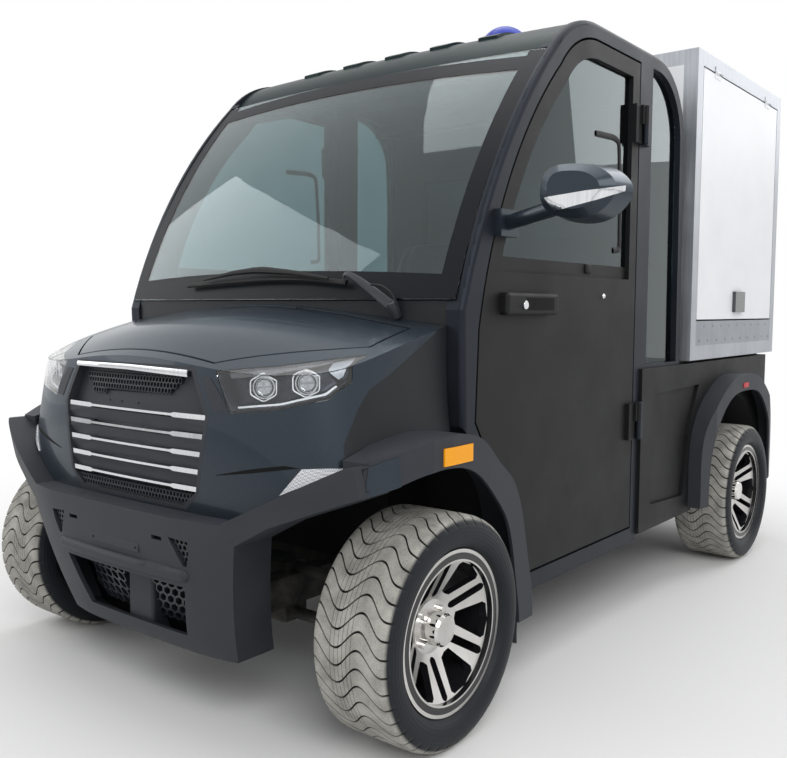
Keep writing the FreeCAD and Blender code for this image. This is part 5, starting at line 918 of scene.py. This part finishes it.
def build_grille():
    upper_depth = front_depth(["grille"], (-0.23, 0.23), (0.80, 0.86), 12)
    fields = (("upper", outline_at(UPPER_MESH_PIXELS, ["grille"]), upper_depth, 0.78, 1.25),
              ("lower", seen_on_plane(LOWER_MESH_PIXELS, 1, LOWER_MESH_Y)[:, [0, 2]],
               lambda x, z: LOWER_MESH_Y + LOWER_MESH_BOW * x * x, 0.76, 1.2))
    for name, outline, depth_at, wall, stretch in fields:
        cells, back = mesh_field(outline, depth_at, CELL_PITCH, wall, CELL_STAND, stretch=stretch)
        surface("grille_mesh_" + name, [cells], "mesh_black", "chassis")
        # The backing plate behind the cells is painted shade.
        surface("grille_mesh_" + name + "_back", [back], "painted_shade_black", "chassis")
    ring_depth = front_depth(["grille"], (-0.23, 0.23), (0.8905, 0.897), 14)
    x, z = np.moveaxis(between(*TOP_BAR, 3, 30), -1, 0)
    face = np.stack([x, ring_depth(x, np.full(x.shape, RING_Z)) - BAR_STAND, z], -1)
    face[1, :, 1] -= BAR_STAND / 3
    surface("grille_top_bar", [plate(face, (0, 2 * BAR_STAND, 0))], "chrome", "chassis")
    # The grille's pin holes are not cut: each is a near-black disc on the grille's face, painted shade standing
    # for the hole.
    places, normals = seen_at(GRILLE_HOLE_PIXELS, ["grille"])
    hole_shades = [turned(PIN_HOLE_SHADE, place, normal, 12) for place, normal in zip(places, normals)]
    surface("grille_pin_hole_shades", hole_shades, "painted_shade_black", "chassis")


def build_bumper_meshes():
    for name, outline, spread, lift, shape in BUMPER_MESHES:
        skin_depth = front_depth(["bumper_mesh"], *spread, 10)
        cells = honeycomb(outline, lambda x, z: skin_depth(x, z) - lift, *shape)
        pair(name, [cells], "mesh_black")


# Headlamps: a bowl behind each lens, two projectors with six-sided light guides, and bright reflectors

LAMP_TOP = ((0.318, 0.889), (0.450, 0.903), (0.533, 0.921), (0.592, 0.931))
LAMP_LOW = ((0.364, 0.802), (0.492, 0.817), (0.576, 0.841), (0.601, 0.877), (0.597, 0.920))
LENS_DEEP = 0.0095
BOWL_DEEP = 0.034
BOWL_RIM = (0.07, 0.16)
GUIDE_REACH = 0.036
GUIDE_STAND = 0.017
PROJECTORS = ((0.440, 0.858), (0.533, 0.870))
INWARD = np.array((-0.50, 0.86, 0.0))
BARREL = ((0, 0), (0, 0.028), (0.010, 0.029), (0.013, 0.027), (0.013, 0.024), (0.004, 0.022), (0.004, 0))
DOME = ((0.004, 0), (0.004, 0.021), (0.010, 0.019), (0.015, 0.0145), (0.018, 0.008), (0.019, 0))


def lamp_surface(depth_at, s, t, deep):
    """A point behind the lens: s runs from grille to tip, t from top to bottom, deep is measured inwards."""
    flat = between(LAMP_TOP, LAMP_LOW, len(t), len(s))
    face = np.stack([flat[..., 0], depth_at(flat[..., 0], flat[..., 1]), flat[..., 1]], -1)
    return face + (LENS_DEEP + deep)[..., None] * INWARD


def lens_depth():
    """A function for the depth of the lens's own front face, and of a smooth fit to it past its edges."""
    fitted = front_depth(["headlamp_lenses"], (0.33, 0.60), (0.80, 0.93), 22)

    def depth_at(x, z):
        depth = straight_hits(x, z, ["headlamp_lenses"])[:, 1]
        return np.where(np.isfinite(depth), depth, np.ravel(fitted(x, z))).reshape(np.shape(x))
    return depth_at


def build_lamps():
    depth_at = lens_depth()
    s, t = np.linspace(0, 1, 46), np.linspace(0, 1, 22)
    rim_s, rim_t = (np.clip(np.minimum(way, 1 - way) / width, 0, 1) for way, width in zip((s, t), BOWL_RIM))
    rim = rim_t[:, None] * rim_s
    deep = BOWL_DEEP * (rim * rim * (3 - 2 * rim)) + 0.0015
    bowl = lamp_surface(depth_at, s, t, deep)
    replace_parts(pair("headlamp_bowls", [plate(bowl, 0.003 * INWARD)], "lamp_bowl"), "headlamp_housings")
    barrels, domes, guides = [], [], []
    for x, z in PROJECTORS:
        face = np.array((x, depth_at(np.array(x), np.array(z)), z))
        foot = face + (LENS_DEEP + BOWL_DEEP) * INWARD
        barrels.append(turned(BARREL, foot, -INWARD, 28))
        domes.append(turned(DOME, foot, -INWARD, 28))
        turn = np.radians(np.arange(0, 361, 60) + 30)
        across = np.cross(INWARD, (0, 0, 1))
        six = np.cos(turn)[:, None] * across + np.sin(turn)[:, None] * np.array((0, 0, 0.92))
        six = foot - GUIDE_STAND * INWARD + GUIDE_REACH * six
        guides.append(tube(rounded_path(six, 49, 2), 0.0017, 8, flat_way=INWARD))
    pair("projector_barrels", barrels, "chrome")
    pair("projector_domes", domes, "lamp_clear")
    pair("light_guides", guides, "light_guide")
    wing = lamp_surface(depth_at, np.linspace(0, 1, 30), np.linspace(0, 1, 12), np.full((12, 30), 0.008))
    for name, part, finish in (("lamp_brow", wing[:3, 3:25], "lamp_housing"),
                               ("lamp_side_reflector", wing[2:10, 24:29] + 0.006 * INWARD, "kick_grey"),
                               ("lamp_lower_trim", wing[10:12, 2:24], "light_guide")):
        pair(name, [plate(part, 0.0015 * INWARD)], finish)


# Trim set on the nose, the flares and the doors by the photograph's pixels, with painted shadow under the nose's
# fin and painted shade in the door handles' hollows

WEDGE_PIXELS = (((302, 469.4), (326, 468.6), (351, 468.8)), ((279.6, 495.7), (315, 482), (351, 468.9)))
FLARE_GLOSS_PIXELS = (((368, 468), (384, 461.5), (398.5, 457)), ((364.5, 499), (383, 493.5), (401.5, 487)))
INSERT_PIXELS = (((201.5, 378), (206, 377.6), (210.7, 378)), ((214, 412), (222, 411.8), (230, 411.5)))
FIN_SHADOW_PIXELS = (((216, 475), (250, 469.5), (284, 466)), ((216, 475.6), (250, 473.5), (300, 468.5)))


def build_nose_trim():
    for name, pixels, node, size, stand, finish in (
            ("wedge_lamps", WEDGE_PIXELS, "nose_fascia", (8, 14), 0.0035, "wedge_white"),
            ("flare_gloss_plates", FLARE_GLOSS_PIXELS, "front_flares", (10, 14), 0.0015, "nose_paint"),
            ("lamp_inserts", INSERT_PIXELS, "nose_fascia", (10, 6), 0.0012, "moulded_black"),
            # fin_shadows is painted shadow: a near-black sheet laid where the fin's shadow falls on the nose.
            ("fin_shadows", FIN_SHADOW_PIXELS, "nose_fascia", (4, 20), 0.0008, "painted_shade_black")):
        pair(name, [skin_patch(*pixels, [node], *size, stand)], finish)


MARKER_STAND = 0.003
AMBER_PLACE = ((-1.202, -1.086), (0.680, 0.722))
RED_PLACE = ((0.940, 1.000), (0.722, 0.742))


def side_marker(place, node):
    """A plate on a flare's outer face: a grid over y and z pushed out to where rays along X meet the node."""
    y, z = np.meshgrid(np.linspace(*place[0], 12), np.linspace(*place[1], 6))
    starts = np.stack([np.full(y.size, 1.2), y.ravel(), z.ravel()], 1)
    hits, _ = first_hits(starts, np.tile((-1.0, 0.0, 0.0), (y.size, 1)), [node])
    outermost = np.nanmax(hits[:, 0])
    x = np.where(np.isfinite(hits[:, 0]), hits[:, 0], outermost).reshape(y.shape)
    face = np.stack([(x + outermost) / 2 + MARKER_STAND, y, z], -1)
    return plate(face, (-MARKER_STAND - 0.004, 0, 0))


def build_markers():
    pair("amber_reflectors", [side_marker(AMBER_PLACE, "front_flares")], "side_amber")
    pair("red_reflectors", [side_marker(RED_PLACE, "rear_flares")], "side_red")


PANE_X = 0.6765
PANE_PIXELS = ((596, 133.2), (615, 137.6), (619.6, 142.5), (620.2, 197.9), (619.6, 250.2), (613, 250.6))
KEY_PIXEL = (525.1, 305.0)
BUTTON = ((-0.002, 0), (-0.002, 0.012), (0.004, 0.012), (0.0055, 0.0105), (0.0055, 0))
LOCK = ((-0.002, 0), (-0.002, 0.0085), (0.002, 0.0085), (0.005, 0.006), (0.0062, 0))
LOCK_PLACE = (0.6905, -0.219, 1.085)
CATCH = ((0.6795, -0.310, 1.168), (0.012, 0.034, 0.030), 0.006)
SILL_YS = (-0.855, -0.026)
SILL_ZS = (1.141, 1.183)
GRIP_YS = (-0.742, -0.585)
GRIP_ZS = (1.040, 1.074)
GRIP_BOW = 0.0008
MIRROR_BAND_PIXELS = (((543.6, 197.5), (585, 190.5), (625.5, 185.5)), ((554.5, 211), (590, 201.5), (625, 191)))


def build_door_trim():
    band = skin_patch(*MIRROR_BAND_PIXELS, ["mirror_left"], 6, 26, 0.0012)
    surface("mirror_band", [band], "chrome", "cab_door_left")
    key = seen_at([KEY_PIXEL], ["door_left"])[0][0]
    y, z = np.meshgrid(np.linspace(*SILL_YS, 20), np.linspace(*SILL_ZS, 3))
    sill = np.stack([np.full(y.shape, PANE_X + 0.001), y, z], -1)
    pieces = (
        ("door_locks", "chrome", [turned(BUTTON, key, (1, 0, 0), 24), turned(LOCK, LOCK_PLACE, (1, 0, 0), 20)]),
        # The handle's hollow is painted shade: a near-black plate on the handle's face.
        ("handle_recess_shade", "painted_shade_black", [grip_recess_shade(key[0])]),
        ("pane_seal", "rubber_seal", [tube(pane_line(), 0.0095, 8, 0.25, (1, 0, 0))]),
        ("pane_sill", "door_black", [plate(sill, (-0.0022, 0, 0))]),
        ("pane_catch", "rubber_seal", [rounded_box(*CATCH)]))
    for side in ("left", "right"):
        for name, finish, parts in pieces:
            parts = parts if side == "left" else [mirrored(part) for part in parts]
            surface(name + "_" + side, parts, finish, "cab_door_" + side)


def grip_recess_shade(x):
    """The painted shade of the hollow behind the paddle: a thin near-black plate on the handle's face, as long as
    the paddle.
    """
    y, z = np.meshgrid(np.linspace(*GRIP_YS, 12), np.linspace(*GRIP_ZS, 4))
    bow = GRIP_BOW * (1 - ((2 * y - sum(GRIP_YS)) / (GRIP_YS[1] - GRIP_YS[0])) ** 2)
    face = np.stack([np.full(y.shape, x + 0.0002) + bow, y, z], -1)
    return plate(face, (-0.002, 0, 0))


def pane_line():
    """The sliding pane's seal: photograph pixels carried to the door glass's outer face, corners rounded."""
    return rounded_path(seen_on_plane(PANE_PIXELS, 0, PANE_X), 60, 3)


def rounded_box(centre, size, radius, count=10):
    """A closed box with rounded edges: a grid of two angles, each pushed to its box corner by the sign."""
    u = np.linspace(-math.pi / 2, math.pi / 2, count)
    u, v = np.meshgrid(u, circle(2 * count) + 1e-3, indexing="ij")
    ball = np.stack([np.cos(u) * np.cos(v), np.cos(u) * np.sin(v), np.sin(u)], -1)
    corner = np.array(size) / 2 - radius
    side = np.sign(np.round(ball, 6))
    side[..., 2] = np.where(np.arange(count)[:, None] < count / 2, -1, 1)
    points = np.array(centre) + ball * radius + side * corner
    points[0], points[-1] = np.array(centre), np.array(centre)
    points[0, :, 2] -= size[2] / 2
    points[-1, :, 2] += size[2] / 2
    return points.reshape(-1, 3), grid_faces(count, 2 * count, wrap_columns=True)


# Windscreen: its dark printed border, the cowl below it, and the wiper with its arm and washer pipe

SCREEN_EDGE = (  # (y, z) of the glass's side line, from foot to head
    (-1.067, 1.038), (-1.047, 1.068), (-1.007, 1.128), (-0.905, 1.282), (-0.821, 1.457), (-0.733, 1.603),
    (-0.646, 1.705), (-0.600, 1.748), (-0.552, 1.786))
SCREEN_HALF = 0.664
SCREEN_RAY = 0.15
COWL_Y = -0.9985
COWL_BOW = 0.045
COWL_SPAN = 0.665
COWL_HALF = 0.640
COWL_ZS = (1.000, 1.0695)
FRIT_STAND = 0.0009
FRIT_SINK = 0.0004
FRIT_SIDE = 0.052
FRIT_FOOT_RUN = 0.13
FRIT_HEAD_RUN = 0.885
WIPER_BLADE_PIXELS = ((192.5, 287.5), (230, 284), (268, 281), (305, 280.5), (350, 285))
WIPER_BRIDGE_PIXELS = ((212, 284), (240, 277.5), (266, 274.5), (300, 277), (335, 283))
WIPER_ARM_PIXELS = ((392, 307), (378, 296), (364, 285.5), (355, 280.5), (350, 281), (349, 285))
PIPE_PIXELS = ((371, 284.5), (381, 285.5), (389.5, 291), (394.5, 299), (396, 305))
ARM_FOOT_Y = -1.042
ARM_STANDS = (0.012, 0.026, 0.036, 0.040, 0.032, 0.024)
BLADE_STAND = 0.016
BRIDGE_STAND = 0.032
SCREEN_OUT = (0, -0.86, 0.5)
BLADE_UP = (0, 0.5, 1)
PIVOT = ((-0.03, 0), (-0.03, 0.017), (0.006, 0.018), (0.015, 0.014), (0.018, 0))


def screen_point(x, run):
    """Points on the windscreen's outer face at a distance x from the middle and a share of its height."""
    edge = along(SCREEN_EDGE, run.ravel())
    slope = np.gradient(along(SCREEN_EDGE, np.linspace(0, 1, 50)), axis=0)
    lean = along(slope, run.ravel())
    out = unit(np.stack([np.zeros(len(lean)), -lean[:, 1], lean[:, 0]], 1))
    starts = np.column_stack([x.ravel(), edge]) + SCREEN_RAY * out
    places, _ = first_hits(starts, -out, ["windscreen"])
    return places.reshape(*x.shape, 3), out.reshape(*x.shape, 3)


def frit_strip(x0, x1, run0, run1, rows, columns):
    """A printed strip on the windscreen between two widths and two heights."""
    run, share = np.meshgrid(np.linspace(0, 1, rows), np.linspace(0, 1, columns), indexing="ij")
    points, out = screen_point(x0 * (1 - share) + x1 * share, run0 * (1 - run) + run1 * run)
    kept = np.isfinite(points[..., 0]).all(1)
    points, out = points[kept], out[kept]
    return slab(points + FRIT_STAND * out, points - FRIT_SINK * out)


def glass_foot(xs):
    """The share of the windscreen's height at which its lower edge starts, at each distance from the middle."""
    runs = np.linspace(0, 0.14, 90)
    x, run = np.meshgrid(xs, runs)
    points, _ = screen_point(x, run)
    return runs[np.isfinite(points[..., 0]).argmax(0)] + 0.0015


def build_screen():
    edge, wide = SCREEN_HALF, SCREEN_HALF - FRIT_SIDE
    side = frit_strip(wide, edge, glass_foot(np.linspace(wide, edge, 5)), 1.0, 60, 5)
    foot = frit_strip(-wide, wide, glass_foot(np.linspace(-wide, wide, 40)), FRIT_FOOT_RUN, 6, 40)
    head = frit_strip(-wide, wide, FRIT_HEAD_RUN, 1.0, 24, 40)
    surface("screen_border", [side, mirrored(side), foot, head], "frit_black", "chassis")


def build_cowl():
    """A dark wall under the windscreen's foot, bowed like the glass's lower edge, down to behind the hood."""
    x, z = np.meshgrid(np.linspace(-COWL_HALF, COWL_HALF, 41), np.linspace(*COWL_ZS, 8))
    bow = COWL_BOW * (1 - (x / COWL_SPAN) ** 2)
    surface("cowl_panel", [plate(np.stack([x, COWL_Y - bow, z], -1), (0, 0.006, 0))], "side_matte", "chassis")


def lifted(pixels, names, stand, count):
    """A smooth path through photograph pixels, held off the skin that they look at."""
    places, normals = seen_at(pixels, names)
    return rounded_path(places + stand * normals, count, 4)


def build_wiper():
    shares = np.linspace(0, 1, 40)
    blade = tube(lifted(WIPER_BLADE_PIXELS, ["windscreen"], BLADE_STAND, 40), 0.0055, 8, 1.6, BLADE_UP)
    bridge = tube(lifted(WIPER_BRIDGE_PIXELS, ["windscreen"], BRIDGE_STAND, 40),
                  np.interp(shares, (0, 0.5, 1), (0.003, 0.009, 0.003)), 8, 1.3, BLADE_UP)
    places, _ = seen_at(WIPER_ARM_PIXELS, ["windscreen"])
    places = np.where(np.isfinite(places), places, seen_on_plane(WIPER_ARM_PIXELS, 1, ARM_FOOT_Y))
    arm_path = rounded_path(places + np.array(ARM_STANDS)[:, None] * SCREEN_OUT, 40, 4)
    arm = tube(arm_path, np.interp(shares, (0, 0.55, 0.8, 1), (0.015, 0.011, 0.007, 0.005)), 10, 0.45, SCREEN_OUT)
    pivot = turned(PIVOT, places[0], (0, -0.5, 0.86), 20)
    pipe = tube(rounded_path(seen_on_plane(PIPE_PIXELS, 1, ARM_FOOT_Y - 0.025), 30), 0.0032, 8)
    surface("wiper_blade", [blade, bridge], "rubber_seal", "chassis")
    surface("wiper_arm", [arm, pivot], "mesh_black", "chassis")
    surface("washer_pipe", [pipe], "rubber_seal", "chassis")


# Load box: two rows of rivets along the kick plates

PLATE_X = 0.712
RIVET_STEP = 0.098
RIVET_YS = np.arange(0.585, 1.47, RIVET_STEP)
RIVET_ZS = (0.925, 0.982)
RIVET = ((-0.002, 0), (-0.002, 0.0065), (0.0008, 0.0062), (0.0026, 0.0044), (0.0034, 0))


def build_box_trim():
    rivet = turned(RIVET, (0, 0, 0), (1, 0, 0), 10)
    places = [(PLATE_X, y, RIVET_ZS[0]) for y in RIVET_YS]
    places += [(PLATE_X, y + RIVET_STEP / 2, RIVET_ZS[1]) for y in RIVET_YS[:-1]]
    pair("kick_plate_rivets", [copies(rivet, places)], "kick_grey")


# Seats: pads blown up by a cloth simulation, then stitched

PADS = {
    "seat_cushion": ((0.315, 0.072, 0.6630), (0.505, 0.400, 0.118), 0.0, "seat_cushions"),
    "seat_back": ((0.315, 0.2675, 1.0325), (0.465, 0.104, 0.604), 12.0, "seat_backs"),
}
PAD_CAP = 0.010
PAD_VOXEL = 0.009
PAD_PRESSURE = 4.0
PAD_FRAMES = 20
PAD_SQUARE = 0.38
SEAM_PLACE = 0.62
SEAM_WIDTH = 0.03
SEAM_DEEP = 0.007


def pad_form(centre, size, lean):
    """A crowned closed form: a ball whose three sides are raised to a power towards a box, then leaned back."""
    u = np.linspace(-math.pi / 2, math.pi / 2, 28)
    u, v = np.meshgrid(u, circle(56), indexing="ij")

    def squared(value):
        return np.sign(value) * np.abs(value) ** PAD_SQUARE

    points = np.stack([squared(np.cos(u)) * squared(np.cos(v)), squared(np.cos(u)) * squared(np.sin(v)),
                       squared(np.sin(u))], -1) * np.array(size) / 2
    tilt = math.radians(-lean)
    turn = np.array(((1, 0, 0), (0, math.cos(tilt), -math.sin(tilt)), (0, math.sin(tilt), math.cos(tilt))))
    return points.reshape(-1, 3) @ turn.T + np.array(centre), grid_faces(28, 56, wrap_columns=True), turn


def applied(obj):
    """The object's mesh with its modifiers worked in and then removed."""
    graph = bpy.context.evaluated_depsgraph_get()
    mesh = bpy.data.meshes.new_from_object(obj.evaluated_get(graph))
    obj.modifiers.clear()
    old, obj.data = obj.data, mesh
    bpy.data.meshes.remove(old)
    return mesh


def blown_up(obj):
    """Cloth under pressure without gravity for some frames, each point's move capped."""
    remesh = obj.modifiers.new("voxels", "REMESH")
    remesh.mode = "VOXEL"
    remesh.voxel_size = PAD_VOXEL
    start = read_points(applied(obj))
    cloth = obj.modifiers.new("cloth", "CLOTH")
    cloth.settings.use_pressure = True
    cloth.settings.uniform_pressure_force = PAD_PRESSURE
    cloth.settings.effector_weights.gravity = 0.0
    cloth.point_cache.frame_start, cloth.point_cache.frame_end = 1, PAD_FRAMES
    for number in range(1, PAD_FRAMES + 1):
        bpy.context.scene.frame_set(number)
        bpy.context.view_layer.update()
    mesh = applied(obj)
    move = read_points(mesh) - start
    length = np.linalg.norm(move, axis=1, keepdims=True)
    points = start + move * np.minimum(1, PAD_CAP / np.maximum(length, 1e-9))
    write_points(mesh, points)
    bpy.context.scene.frame_set(1)


def build_seats():
    for name, (centre, size, lean, node) in PADS.items():
        points, faces, turn = pad_form(centre, size, lean)
        pad = surface(name + "_left", [(points, faces)], "seat_vinyl", "chassis", 60.0)
        blown_up(pad)
        smooth = pad.modifiers.new("round", "SUBSURF")
        smooth.levels = smooth.render_levels = 1
        mesh = applied(pad)
        local = (read_points(mesh) - np.array(centre)) @ turn
        thin, tall = (2, 1) if lean == 0 else (1, 2)
        across, up = (np.abs(local[:, axis] / size[axis] * 2) for axis in (0, tall))
        seams = np.exp(-((across - SEAM_PLACE) / SEAM_WIDTH) ** 2)
        seams += np.exp(-((up % 0.5 - 0.25) / SEAM_WIDTH) ** 2) * (across < SEAM_PLACE)
        away = np.sign(local[:, thin]) * (np.abs(local[:, thin]) > size[thin] * 0.25)
        local[:, thin] -= SEAM_DEEP * np.clip(seams, 0, 1) * away
        low, high = (np.array(corner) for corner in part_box(node))
        low[0] = 0.05
        points = np.clip(local @ turn.T + np.array(centre), low, high)
        write_points(mesh, points)
        mesh.polygons.foreach_set("use_smooth", np.ones(len(mesh.polygons), bool))
        mesh.update()
        other = mesh.copy()
        write_points(other, points * (-1, 1, 1))
        other.flip_normals()
        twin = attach(link(bpy.data.objects.new(name + "_right", other)), "chassis")
        for one in (pad, twin):
            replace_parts(one, node)


photo_camera()
pale_world()
softboxes()
paper_floor()
finish_nodes()
build_tyres()
build_grille()
build_bumper_meshes()
build_lamps()
build_nose_trim()
build_markers()
build_door_trim()
build_screen()
build_cowl()
build_wiper()
build_box_trim()
build_seats()

bpy.context.scene.view_settings.view_transform = "Standard"
bpy.context.view_layer.update()
